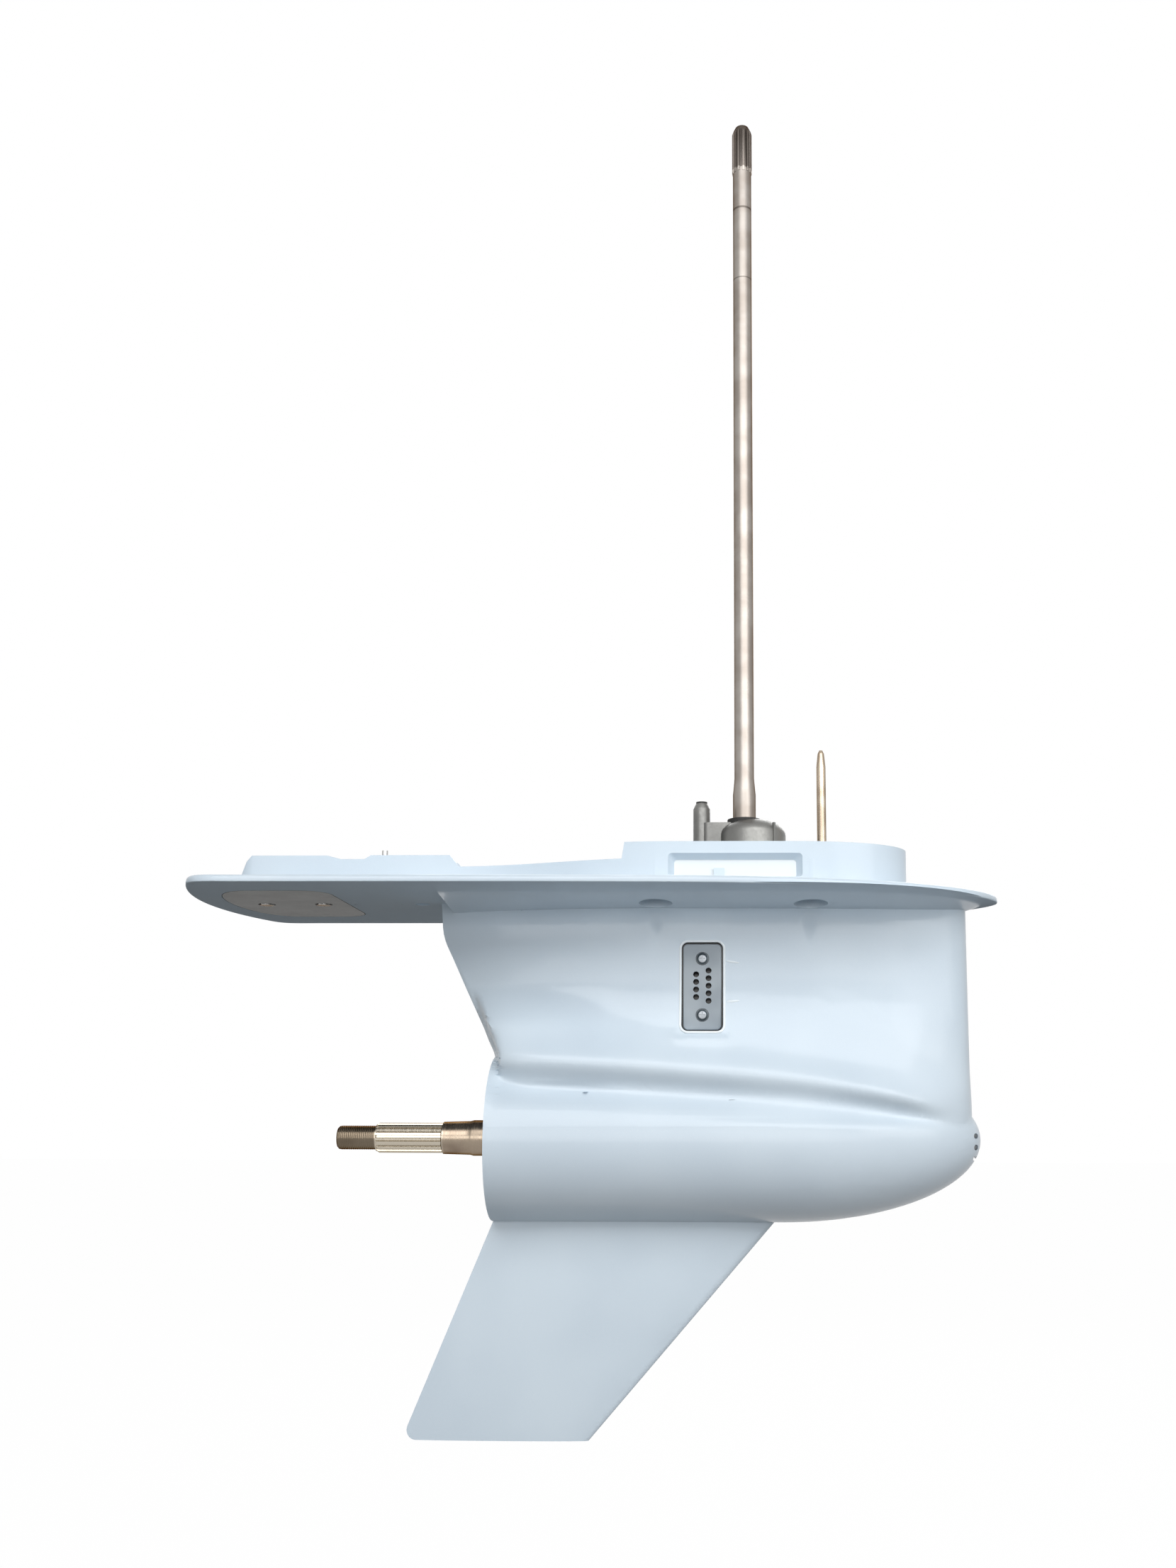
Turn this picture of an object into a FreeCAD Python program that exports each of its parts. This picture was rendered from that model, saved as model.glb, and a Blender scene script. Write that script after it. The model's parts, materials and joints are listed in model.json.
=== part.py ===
import FreeCAD, Part
import math
import os

# Outboard lower unit, in millimetres.
# X points forward to the bow, Y to port and Z up.
# The origin is where the driveshaft axis crosses the face that bolts up to the midsection.

V = FreeCAD.Vector

# Heights of the main lines, measured down from the deck face
axis_z = -246.0            # propeller shaft axis
plate_bottom = -45.0       # underside of the anti-ventilation plate
plate_thick = 6.0
plate_top = plate_bottom + plate_thick
plate_edge_round = (3.2, 1.0)   # rounding of the rim's top and bottom corner

# Anti-ventilation plate, seen from above: places along X and half widths
plate_tip_x = 218.0
plate_rear_x = -470.0
plate_half = 127.0
plate_flank_x = -400.0
plate_shoulder_x = -75.0
plate_shoulder_half = 124.0
plate_bow_reach = (240.0, 25.0)   # how far the bow curve leans along X and across Y
plate_side_slope = 0.03
plate_corner_x = -448.5
plate_corner_half = 112.0

# Deck rim on the plate
deck_nose_x = 140.0
deck_half = 58.0
deck_step_x = -101.0
deck_aft_drop = 14.0       # the rim behind the step lies this much lower
fin_start_x = -246.0       # narrow rear rim
fin_half = 24.0
fin_front_drop = 5.5
fin_dip_drop = 8.9
fin_rear_drop = 5.8
fin_dip_x = (-348.0, -328.0)
fin_end_x = -444.0
fin_ramp = 18.5
rim_wall = 6.0
deck_edge_round = 1.5

# Side recesses in the deck rim and the bolts beside them
recess_x = (-65.0, 47.0)
recess_z = (-30.0, -10.0)
recess_depth = 7.0
recess_draft = 5.0         # how far the recess's walls lean in over its depth
recess_corner = 3.0
bolt_x = (-75.5, 54.0)
bolt_y = 50.5
bolt_hole_r = 5.25
bolt_boss_r = 7.4
bolt_boss_height = 24.0
bolt_pad_r = 12.5
bolt_pad_height = 3.5
bolt_seat_r = 14.0

# Thick root under the plate, sloping from near the plate's edge down to the strut
root_z = -54.0
root_rear_x = -252.0
root_outer = (211.0, 118.0)       # reach forward and half width where it leaves the plate
root_inner = (182.0, 32.0)        # the same where it ends inside the strut
root_tail_half = 4.0

# Strut
strut_lead_x = 190.5
strut_max_half = 36.0
strut_trail_half = 4.5
strut_peak_share = 0.42    # where along the chord the strut is thickest
strut_low_peak = 0.34      # the same near the torpedo, where its front is blunter
strut_tail_corner = (-261.0, 172.0)   # the trailing edge is upright above this corner
strut_tail_slope = 0.462
strut_tail_lean = 0.09     # how far it still leans back above the corner
strut_tail_foot = 69.0     # height above the axis where the trailing edge meets the torpedo
strut_bulge_half = 58.5    # shoulder above the torpedo

# Torpedo
torpedo_r = 69.0
torpedo_rear_x = -213.0
torpedo_straight_x = 30.0  # ahead of this the torpedo narrows as half an ellipse
torpedo_nose_x = 198.0
nose_hole_x = 191.3
nose_hole_r = 2.3
nose_hole_pitch = 9.4
nose_hole_top = 3.3

# Skeg
skeg_drop = 246.0          # below the propeller shaft axis
skeg_root_half = 8.0
skeg_tip_half = 4.0
skeg_lead_root_x = 24.0
skeg_lead_slope = 0.872
skeg_trail_root_x = -213.0
skeg_trail_slope = 0.407
skeg_front_round = 24.0
skeg_rear_round = 8.0

# Water inlet screens
inlet_x = (-52.5, -20.5)
inlet_z = (90.0, 162.0)    # above the propeller shaft axis
inlet_corner = 4.0
inlet_face_y = 37.0
inlet_thick = 4.0
inlet_gap = 1.6
inlet_hole_r = 2.5
inlet_hole_pitch = 6.35
inlet_screw_inset = 12.4
inlet_screw_r = 5.0
inlet_screw_shank_r = 2.4
inlet_screw_length = 12.0
inlet_port_depth = 14.0

# Rear plate anode and its bolts, and the holes ahead of it
anode_x = (-447.0, -346.0)
anode_half = 79.0
anode_thick = 4.0
anode_sink = 2.5           # how deep the bolts' heads sit in the anode
anode_gap = 0.8
anode_bolt_x = (-418.0, -368.0)
anode_bolt_r = 4.0
anode_head_r = 6.5
anode_boss_r = 9.0
anode_boss_height = 14.0
rear_bolt_x = -281.0
rear_bolt_hole_r = 6.5
drain_hole_x = (-340.0, -299.0)
drain_hole_r = 1.3
dowel_x = -311.0
dowel_r = 2.5
dowel_stand = 4.5
dowel_depth = 10.0

# Fits
run_fit = 0.05             # radial, shaft in its own bore
seat_fit = 0.05            # radial, a part pressed into the housing
face_gap = 0.3             # between faces that turn or slide past one another

# Gears: a pinion drives two equal bevel gears on one axis
pinion_teeth = 14
gear_teeth = 28
gear_pitch_r = 46.0
face_share = 0.32          # tooth length as a share of the cone distance
pressure_angle = math.radians(25.0)
tooth_slack = 0.16         # taken off each flank
addendum_share = 0.85
dedendum_share = 1.2

# Driveshaft
drive_top = 697.0
drive_spline_length = 45.0
drive_spline_r = 9.3
drive_spline_teeth = 13
drive_r = 8.6
drive_swell_z = (52.0, 67.0)
drive_pump_r = 10.0
drive_seal_r = 11.0
drive_cone_r = 12.5
drive_low_r = 12.0
pinion_seat_r = 9.0
pinion_thread_r = 6.5

# Water pump
pump_x = 7.0
pump_r = 29.0
pump_top = 30.0
pump_floor = -26.0
pump_cavity_x = (-60.0, 46.0)
pump_cavity_half = 33.0
pump_base_thick = 1.5
pump_gasket_thick = 0.8
pump_flange_thick = 7.0
pump_wall = 4.0
pump_dome = 15.0           # height of the rounded top
impeller_height = 22.0
impeller_hub_r = 15.0
impeller_vanes = 6
pump_bolt_x = (-26.0, 38.0)
pump_bolt_y = 26.0
pump_bolt_r = 3.0
pump_bolt_head_r = 5.2
tube_x = -37.4
tube_outer_r = 7.4
tube_bore_r = 5.0
tube_top = 44.0

# Seal carrier and upper bearing round the driveshaft
carrier_seal_z = (-60.0, -27.0)
carrier_seal_r = 27.0
upper_bearing_z = (-86.0, -61.0)
upper_bearing_r = 30.0
lower_bearing_up = (58.0, 84.0)   # above the propeller shaft axis
lower_bearing_r = 18.0
lower_needle_r = 1.5

# Bores along the propeller shaft axis
carrier_bore_r = 54.0
chamber_r = 51.0
chamber_x = (-30.0, 34.0)
front_cup_r = 38.0
front_cup_x = (34.0, 54.0)
cam_chamber_r = 19.5
cam_chamber_x = 84.0
gear_hub_r = 22.0
gear_back_x = 30.0
gear_bush_r = 14.0

# Propeller shaft
prop_end_x = -347.0
prop_thread_x = -314.0
prop_spline_x = -258.0
prop_cone_x = -234.0
prop_front_x = 51.0
prop_thread_r = 9.7
prop_spline_r = 12.7
prop_spline_teeth = 15
prop_cone_r = 13.6
prop_seal_r = 15.0
prop_mid_r = 15.0
prop_dog_r = 12.5
prop_dog_teeth = 12
prop_front_r = 11.0

# Clutch and shift
dog_r = 24.0
dog_half = 9.0
jaw_count = 4
jaw_width = 20.0           # degrees
jaw_height = 5.0
jaw_inner_r = 17.0
shift_travel = 6.5
gear_jaw_tip_x = 16.0
cross_pin_r = 3.0
shift_x = 67.5
shift_r = 4.0
shift_low_r = 4.5          # the rod is thicker from its bush down
shift_top = 92.0
shift_tip_length = 15.0
crank_throw = 13.0
crank_pin_r = 3.0
crank_arm_z = (20.0, 26.0)        # above the propeller shaft axis
crank_pin_low = -7.0
spool_core_r = 7.5
spool_r = 17.0
spool_flange = 3.0
follower_rod_r = 5.0
bush_r = 10.0
bush_z = (-30.0, -8.0)

# Bearing carrier, tab washer and ring nut
carrier_front_x = -31.0
carrier_ring_x = -64.0
carrier_rear_x = -198.0
carrier_hub_r = 31.0
carrier_cup_r = 42.0
carrier_cup_x = -47.0
carrier_rib_count = 4
carrier_rib_thick = 9.0
carrier_needle_x = (-184.0, -152.0)
carrier_needle_r = 20.5
carrier_seal_x = (-197.5, -185.0)
tab_washer_thick = 1.5
ring_nut_thick = 12.0
ring_nut_inner_r = 45.0

# Drain and vent plugs, on the port side
plug_head_r = 8.0
plug_head_thick = 4.0
plug_shank_r = 5.0
plug_shank_length = 12.0
plug_seal_thick = 1.0
drain_plug_at = (40.0, 43.0, -50.0)   # X, Y of its seat, height above the axis
vent_plug_at = (30.0, 33.0, 112.0)

all_made = []


def save(name, solids):
    """Write one node. A list of solids becomes one file of separate solids."""
    shape = Part.makeCompound(solids) if isinstance(solids, list) else solids
    shape.exportStep(os.path.join("parts", name + ".step"))
    all_made.append((name, shape))


def post(r, z0, z1, x=0.0, y=0.0):
    """Round bar standing along Z."""
    return Part.makeCylinder(r, z1 - z0, V(x, y, z0), V(0, 0, 1))


def bar(r, x0, x1, y=0.0, z=axis_z):
    """Round bar lying along X, on the propeller shaft axis unless told otherwise."""
    return Part.makeCylinder(r, x1 - x0, V(x0, y, z), V(1, 0, 0))


def cross_bar(r, y0, y1, x, z):
    """Round bar lying along Y."""
    return Part.makeCylinder(r, y1 - y0, V(x, y0, z), V(0, 1, 0))


def block(x0, x1, y0, y1, z0, z1):
    return Part.makeBox(x1 - x0, y1 - y0, z1 - z0, V(x0, y0, z0))


def turned_z(points, x=0.0, y=0.0):
    """Turned part about a vertical axis, from (radius, height) points."""
    corners = [V(x + r, y, z) for r, z in points]
    face = Part.Face(Part.makePolygon(corners + corners[:1]))
    return face.revolve(V(x, y, 0), V(0, 0, 1), 360)


def turned_x(points):
    """Turned part about the propeller shaft axis, from (place along X, radius) points."""
    corners = [V(x, 0, axis_z + r) for x, r in points]
    face = Part.Face(Part.makePolygon(corners + corners[:1]))
    return face.revolve(V(0, 0, axis_z), V(1, 0, 0), 360)


def turned_y(points, x, z):
    """Turned part about a crosswise axis, from (radius, place along Y) points."""
    corners = [V(x + r, y, z) for r, y in points]
    face = Part.Face(Part.makePolygon(corners + corners[:1]))
    return face.revolve(V(x, 0, z), V(0, 1, 0), 360)


def washer_z(r_out, r_in, z0, z1, x=0.0, y=0.0):
    return post(r_out, z0, z1, x, y).cut(post(r_in, z0 - 1, z1 + 1, x, y))


def washer_x(r_out, r_in, x0, x1):
    return bar(r_out, x0, x1).cut(bar(r_in, x0 - 1, x1 + 1))


def prism(corners, z0, z1):
    """Straight-sided solid between two heights, from (x, y) corners."""
    points = [V(x, y, z0) for x, y in corners]
    return Part.Face(Part.makePolygon(points + points[:1])).extrude(V(0, 0, z1 - z0))


def side_prism(corners, y0, y1):
    """Straight-sided solid across Y, from (x, z) corners."""
    points = [V(x, y0, z) for x, z in corners]
    return Part.Face(Part.makePolygon(points + points[:1])).extrude(V(0, y1 - y0, 0))


def rounded_box_y(x0, x1, z0, z1, y0, y1, corner):
    """Box whose four edges along Y are rounded."""
    solid = block(x0, x1, y0, y1, z0, z1)
    edges = [e for e in solid.Edges if abs(e.Vertexes[0].Y - e.Vertexes[1].Y) > abs(y1 - y0) / 2]
    return solid.makeFillet(corner, edges)


def rounded_box_z(x0, x1, y0, y1, z0, z1, corner):
    """Box whose four upright edges are rounded."""
    solid = block(x0, x1, y0, y1, z0, z1)
    edges = [e for e in solid.Edges if abs(e.Vertexes[0].Z - e.Vertexes[1].Z) > abs(z1 - z0) / 2]
    return solid.makeFillet(corner, edges)


def around_x(solid, turn):
    """Copy turned about the propeller shaft axis by degrees."""
    copy = solid.copy()
    copy.rotate(V(0, 0, axis_z), V(1, 0, 0), turn)
    return copy


def mirrored(solid):
    """The other side's copy, across the middle plane."""
    return solid.mirror(V(0, 0, 0), V(0, 1, 0))


def joined(solids):
    """One solid from several that overlap."""
    whole = solids[0].multiFuse(solids[1:])
    return whole.Solids[0] if len(whole.Solids) == 1 else whole


def foil_half(share, peak, half, trail_half, fullness=2.6):
    """Half thickness of a foil at a share of its chord.

    Ahead of the peak it is a blunt superellipse; behind it a smooth run down to the trailing half,
    later and steeper with more fullness.
    """
    if share < peak:
        back = (peak - share) / peak
        return half * (1 - back ** 2.4) ** (1 / 2.4)
    behind = (share - peak) / (1 - peak)
    return trail_half + (half - trail_half) * (1 - behind ** fullness)


def foil_wire(lead_x, trail_x, half, trail_half, z, peak, lean=0.0, fullness=2.6):
    """Closed foil outline at one height, in a plane that may lean down towards the bow."""
    chord = lead_x - trail_x
    shares = (1.0, 0.86, 0.72, 0.56, peak, 0.3, 0.2, 0.11, 0.045, 0.01)

    def at(share, y):
        x = lead_x - share * chord
        return V(x, y, z - lean * x)

    port = [at(s, foil_half(s, peak, half, trail_half, fullness)) for s in shares]
    starboard = [V(p.x, -p.y, p.z) for p in reversed(port)]
    skin = Part.BSplineCurve()
    skin.interpolate(port + [at(0.0, 0.0)] + starboard)
    return Part.Wire([skin.toShape(), Part.makeLine(starboard[-1], port[0])])


def tail_x(up):
    """Trailing edge of the strut at a height above the axis: upright, then sloping forward."""
    corner_x, corner_up = strut_tail_corner
    if up > corner_up:
        return corner_x - strut_tail_lean * (up - corner_up)
    return corner_x + strut_tail_slope * (corner_up - up)


def strut():
    """Strut between torpedo and plate.

    Just above the torpedo it swells to a shoulder and then turns in again,
    so that the torpedo stands out below it as a form of its own.
    """
    # height above the axis, half thickness, leading X, lean towards the bow, fullness behind
    levels = (
        (0.0, 46.0, 191.5, 0.0, 4.0),
        (16.0, 54.0, 191.5, 0.05, 5.5),
        (30.0, 57.0, 191.3, 0.09, 7.0),
        (44.0, strut_bulge_half, 191.0, 0.11, 7.0),
        (57.0, strut_bulge_half - 2.0, 190.8, 0.10, 6.0),
        (72.0, strut_bulge_half - 7.3, strut_lead_x, 0.085, 4.4),
        (90.0, strut_max_half + 8.3, strut_lead_x, 0.055, 3.3),
        (112.0, strut_max_half + 2.8, strut_lead_x, 0.02, 2.7),
        (134.0, strut_max_half + 0.4, strut_lead_x, 0.0, 2.6),
        (154.0, strut_max_half + 1.0, strut_lead_x, 0.0, 2.6),
        (168.0, strut_max_half + 2.5, strut_lead_x, 0.0, 2.6),
        (177.0, strut_max_half + 3.3, strut_lead_x, 0.0, 2.6),
        (187.0, strut_max_half + 2.0, strut_lead_x, 0.0, 2.6),
        (plate_bottom - axis_z + 1.0, strut_max_half - 1.5, strut_lead_x, 0.0, 2.6),
    )
    wires = []
    for up, half, lead, lean, fullness in levels:
        low = up < strut_tail_foot
        trail = tail_x(max(up - lean * torpedo_rear_x, strut_tail_foot))
        wires.append(foil_wire(lead, trail, half, strut_trail_half + (2.0 if low else 0.0), axis_z + up,
                               strut_low_peak if low else strut_peak_share, lean, fullness))
    return Part.makeLoft(wires, True, False)


def torpedo():
    """Bullet-shaped gear casing: a straight tube with half an ellipse as its nose."""
    reach = torpedo_nose_x - torpedo_straight_x
    nose = Part.Ellipse(V(torpedo_straight_x, 0, axis_z), reach, torpedo_r)
    nose.Axis = V(0, -1, 0)
    quarter = Part.Arc(nose, 0, math.pi / 2).toShape()
    ends = sorted((v.Point for v in quarter.Vertexes), key=lambda p: p.x)
    shoulder, tip = ends[0], ends[1]
    top = V(torpedo_rear_x, 0, shoulder.z)
    low = V(torpedo_rear_x, 0, axis_z)
    outline = Part.Wire([quarter, Part.makeLine(shoulder, top), Part.makeLine(top, low),
                         Part.makeLine(low, tip)])
    return Part.Face(outline).revolve(V(0, 0, axis_z), V(1, 0, 0), 360)


def skeg():
    """Thin fin below the torpedo, swept back, with its lower corners rounded."""
    wires = []
    for down, half in ((50.0, skeg_root_half + 1.0), (100.0, skeg_root_half - 1.0),
                       (170.0, 5.5), (skeg_drop, skeg_tip_half)):
        depth = down - torpedo_r
        lead = skeg_lead_root_x - skeg_lead_slope * depth
        trail = skeg_trail_root_x - skeg_trail_slope * depth
        wires.append(foil_wire(lead, trail, half, 1.6, axis_z - down, 0.45))
    fin = Part.makeLoft(wires, True, False)
    low = skeg_drop - torpedo_r
    lead_low = skeg_lead_root_x - skeg_lead_slope * low
    trail_low = skeg_trail_root_x - skeg_trail_slope * low
    high = 60.0
    outline = side_prism([(lead_low, axis_z - skeg_drop), (trail_low, axis_z - skeg_drop),
                          (trail_low + skeg_trail_slope * (skeg_drop - 40.0), axis_z - 40.0),
                          (lead_low + skeg_lead_slope * (skeg_drop - 40.0), axis_z - 40.0)],
                         -high, high)
    corners = [e for e in outline.Edges
               if abs(e.Vertexes[0].Y - e.Vertexes[1].Y) > high and e.Vertexes[0].Z < axis_z - 200]
    front = [e for e in corners if abs(e.Vertexes[0].X - lead_low) < 0.1]
    rear = [e for e in corners if abs(e.Vertexes[0].X - trail_low) < 0.1]
    outline = outline.makeFillet(skeg_front_round, front)
    rear = [e for e in outline.Edges
            if abs(e.Vertexes[0].Y - e.Vertexes[-1].Y) > high
            and abs(e.Vertexes[0].X - trail_low) < 0.1 and e.Vertexes[0].Z < axis_z - 200]
    outline = outline.makeFillet(skeg_rear_round, rear)
    return fin.common(outline)


def curve(*poles):
    """Smooth edge at height 0 from (x, y) poles. Its ends aim at the poles beside them."""
    edge = Part.BezierCurve()
    edge.setPoles([V(x, y, 0) for x, y in poles])
    return edge.toShape()


def both_sides(port_edges, middle_edges):
    """Closed outline from port edges, their starboard copies and the edges between them."""
    edges = port_edges + [mirrored(e) for e in port_edges] + middle_edges
    return Part.Wire(Part.__sortEdges__(edges))


def plate_wire():
    """Outline of the plate at height 0: pointed bow, nearly straight sides and a bowed stern."""
    shoulder = (plate_shoulder_x, plate_shoulder_half)
    flank = (plate_flank_x, plate_half)
    corner = (plate_corner_x, plate_corner_half)
    lean, rise = plate_bow_reach
    bow = curve((plate_tip_x, 0.0), (plate_tip_x, rise),
                (shoulder[0] + lean, shoulder[1] - plate_side_slope * lean), shoulder)
    side = curve(shoulder, (shoulder[0] - 90.0, shoulder[1] + plate_side_slope * 90.0),
                 (flank[0] + 120.0, flank[1]), flank)
    stern_reach = corner[0] - plate_rear_x
    stern_r = (corner[1] ** 2 + stern_reach ** 2) / (2 * stern_reach)
    back = 22.0 / stern_r
    turn = curve(flank, (flank[0] - 26.0, flank[1]),
                 (corner[0] + back * corner[1], corner[1] + back * (stern_r - stern_reach)), corner)
    stern = Part.Arc(V(*corner, 0), V(plate_rear_x, 0, 0), V(corner[0], -corner[1], 0)).toShape()
    return both_sides([bow, side, turn], [stern])


def plate():
    """Anti-ventilation plate with rounded rims."""
    solid = Part.Face(plate_wire()).extrude(V(0, 0, plate_thick))
    solid.translate(V(0, 0, plate_bottom))
    for z, radius in zip((plate_top, plate_bottom), plate_edge_round):
        rim = [e for e in solid.Edges if all(abs(v.Z - z) < 0.01 for v in e.Vertexes)]
        solid = solid.makeFillet(radius, rim)
    return solid


def root_wire(reach, half, tail_half, rise, z):
    """Outline of the plate's thick root at one height: pointed bow, straight back."""
    middle = 20.0
    bow = curve((reach, 0.0), (reach, rise), (middle + 0.75 * (reach - middle), half), (middle, half))
    side = curve((middle, half), (middle - 90.0, half),
                 (root_rear_x + 90.0, (half + 2.0 * tail_half) / 3.0), (root_rear_x, tail_half))
    back = Part.makeLine(V(root_rear_x, tail_half, 0), V(root_rear_x, -tail_half, 0))
    wire = both_sides([bow, side], [back])
    wire.translate(V(0, 0, z))
    return wire


def plate_root():
    """Wedge that thickens the plate towards the strut, with straight slopes."""
    top = root_wire(root_outer[0], root_outer[1], root_outer[1], 34.0, plate_bottom + 1.0)
    low = root_wire(root_inner[0], root_inner[1], root_tail_half, 12.0, root_z)
    return Part.makeLoft([top, low], True, True)


def deck_wire(wall=0.0):
    """Outline of the deck rim at height 0, or of the room inside a wall of that thickness."""
    half = deck_half - wall
    waist = (deck_step_x, half - 3.0)
    neck = (fin_start_x, fin_half - wall)
    tail = (fin_end_x + fin_half * 0.8, fin_half - wall)
    nose = deck_nose_x - wall
    front = curve((nose, 0.0), (nose, 34.0 - wall / 2), (102.0 - wall / 2, half), (36.0, half))
    side = Part.makeLine(V(36.0, half, 0), V(-60.0, half, 0))
    turn = curve((-60.0, half), (-76.0, half), (waist[0] + 12.0, waist[1] + 2.0), waist)
    draw = curve(waist, (waist[0] - 60.0, waist[1] - 10.0), (neck[0] + 56.0, neck[1]), neck)
    rear = Part.makeLine(V(*neck, 0), V(*tail, 0))
    end = Part.Arc(V(*tail, 0), V(fin_end_x + wall, 0, 0), V(tail[0], -tail[1], 0)).toShape()
    return both_sides([front, side, turn, draw, rear], [end])


def deck_inside(wall, floor):
    """Room inside the deck rim, leaving a wall of a given thickness."""
    room = Part.Face(deck_wire(wall)).extrude(V(0, 0, 60.0))
    room.translate(V(0, 0, floor))
    return room


def deck():
    """Rim that the midsection bolts to. Its top steps down behind the driveshaft."""
    solid = Part.Face(deck_wire()).extrude(V(0, 0, -plate_top + 1.0))
    solid.translate(V(0, 0, plate_top - 1.0))
    above = 5.0
    step_run = 3.0
    profile = [(deck_step_x, above), (deck_step_x - step_run, -deck_aft_drop),
               (fin_start_x, -deck_aft_drop - 1.5), (fin_start_x - 8.0, -fin_front_drop),
               (fin_dip_x[1] + 6.0, -fin_front_drop), (fin_dip_x[1], -fin_dip_drop),
               (fin_dip_x[0], -fin_dip_drop), (fin_dip_x[0] - 12.0, -fin_rear_drop),
               (fin_end_x + fin_ramp, -fin_rear_drop), (fin_end_x + 13.5, -11.0),
               (fin_end_x + 9.0, -21.0),
               (fin_end_x - 1.0, plate_top), (fin_end_x - 20.0, plate_top),
               (fin_end_x - 20.0, above)]
    return solid.cut(side_prism(profile, -80.0, 80.0))


def bolt_places():
    return [(x, side * bolt_y) for x in bolt_x for side in (-1, 1)]


def housing():
    """One casting: plate, deck rim, strut, torpedo and skeg, with its bores and ports."""
    body = joined([strut(), torpedo()])
    body = joined([body, skeg()])
    body = joined([body, plate_root()])
    body = joined([body, plate()])
    body = joined([body, deck()])
    bosses = [post(bolt_boss_r, plate_top - 1.0, plate_top + bolt_boss_height, x, y)
              for x, y in bolt_places()]
    bosses += [post(bolt_pad_r, plate_top - 1.0, plate_top + bolt_pad_height, x, y)
               for x, y in bolt_places()]
    body = joined([body] + bosses)
    body = body.cut(Part.makeCompound(top_cavities()))
    bosses = [post(anode_boss_r, plate_top - 1.0, plate_top + anode_boss_height, x)
              for x in anode_bolt_x]
    body = joined([body] + bosses)
    for group in (side_recesses(), bolt_holes(), drive_bores(), prop_bores(), ports(), rear_holes()):
        body = body.cut(Part.makeCompound(group))
    return body


def top_cavities():
    """Pump well, aft trough, front pocket and the exhaust way down to the torpedo."""
    well = rounded_box_z(pump_cavity_x[0], pump_cavity_x[1], -pump_cavity_half, pump_cavity_half,
                         pump_floor, 5.0, 12.0)
    keep = block(pump_cavity_x[0] - rim_wall - 1.0, 200.0, -90.0, 90.0, plate_top - 5.0, 30.0)
    trough = deck_inside(rim_wall + 2.0, plate_top).cut(keep)
    ahead = block(shift_x + 16.0, 200.0, -90.0, 90.0, plate_top, 30.0)
    pocket = deck_inside(rim_wall + 5.0, plate_top + 2.0).common(ahead)
    return [well, trough, pocket, exhaust_way()]


def exhaust_way():
    """Passage from the trough down through the strut, narrowing as the strut does."""
    wires = []
    for z, x0, x1, half in ((plate_top + 1.0, -196.0, -78.0, 24.0),
                            (plate_bottom - 50.0, -200.0, -84.0, 18.0),
                            (axis_z + carrier_bore_r - 12.0, -186.0, -92.0, 15.0)):
        corner = 8.0
        outline = rounded_box_z(x0, x1, -half, half, z, z + 1.0, corner)
        low = min(outline.Faces, key=lambda f: f.CenterOfMass.z)
        wires.append(low.OuterWire)
    return Part.makeLoft(wires, True, False)


def side_recesses():
    """Long recess with leaning walls in each side of the deck rim, and a small block in it."""
    x0, x1 = recess_x
    z0, z1 = recess_z
    wires = []
    for inward, shrink in ((-5.0, -recess_draft * 5.0 / recess_depth), (recess_depth, recess_draft)):
        y = inward - deck_half
        outline = rounded_box_y(x0 + shrink, x1 - shrink, z0, z1 - shrink, y, y + 1.0, recess_corner)
        wires.append(min(outline.Faces, key=lambda f: f.CenterOfMass.y).OuterWire)
    recess = Part.makeLoft(wires, True, True)
    stub = block(-27.0, -18.0, recess_depth - deck_half - 3.0, recess_depth - deck_half + 1.0,
                 recess_z[0] - 1.0, recess_z[0] + 8.0)
    recess = recess.cut(stub)
    return [recess, mirrored(recess)]


def bolt_holes():
    """Four holes up through plate and rim, each with a flat seat cut under the plate."""
    tools = []
    for x, y in bolt_places():
        tools.append(post(bolt_hole_r, plate_bottom - 40.0, 5.0, x, y))
        tools.append(post(bolt_seat_r, plate_bottom - 40.0, plate_bottom + 1.0, x, y))
    return tools


def drive_bores():
    """Stepped bore round the driveshaft and the bore round the shift rod."""
    low = axis_z + lower_bearing_up[0]
    high = axis_z + lower_bearing_up[1]
    stack = turned_z([(0, axis_z), (pinion_clear_r(), axis_z), (pinion_clear_r(), low),
                      (lower_bearing_r + seat_fit, low), (lower_bearing_r + seat_fit, high),
                      (lower_bearing_r - 2.0, high), (lower_bearing_r - 2.0, upper_bearing_z[0] - 6.0),
                      (upper_bearing_r - 5.0, upper_bearing_z[0] - 6.0),
                      (upper_bearing_r - 5.0, upper_bearing_z[0]),
                      (upper_bearing_r + seat_fit, upper_bearing_z[0]),
                      (upper_bearing_r + seat_fit, upper_bearing_z[1]),
                      (carrier_seal_r + seat_fit, upper_bearing_z[1]),
                      (carrier_seal_r + seat_fit, pump_floor + 1.0), (0, pump_floor + 1.0)])
    bush = post(bush_r + seat_fit, bush_z[0], 5.0, shift_x)
    way = post(shift_low_r + 2.0, axis_z + crank_arm_z[0], 0.0, shift_x)
    return [stack, bush, way]


def pinion_clear_r():
    """Room for the pinion's heel."""
    module = 2 * gear_pitch_r / gear_teeth
    return gear_pitch_r * pinion_teeth / gear_teeth + addendum_share * module + 2.5


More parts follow.
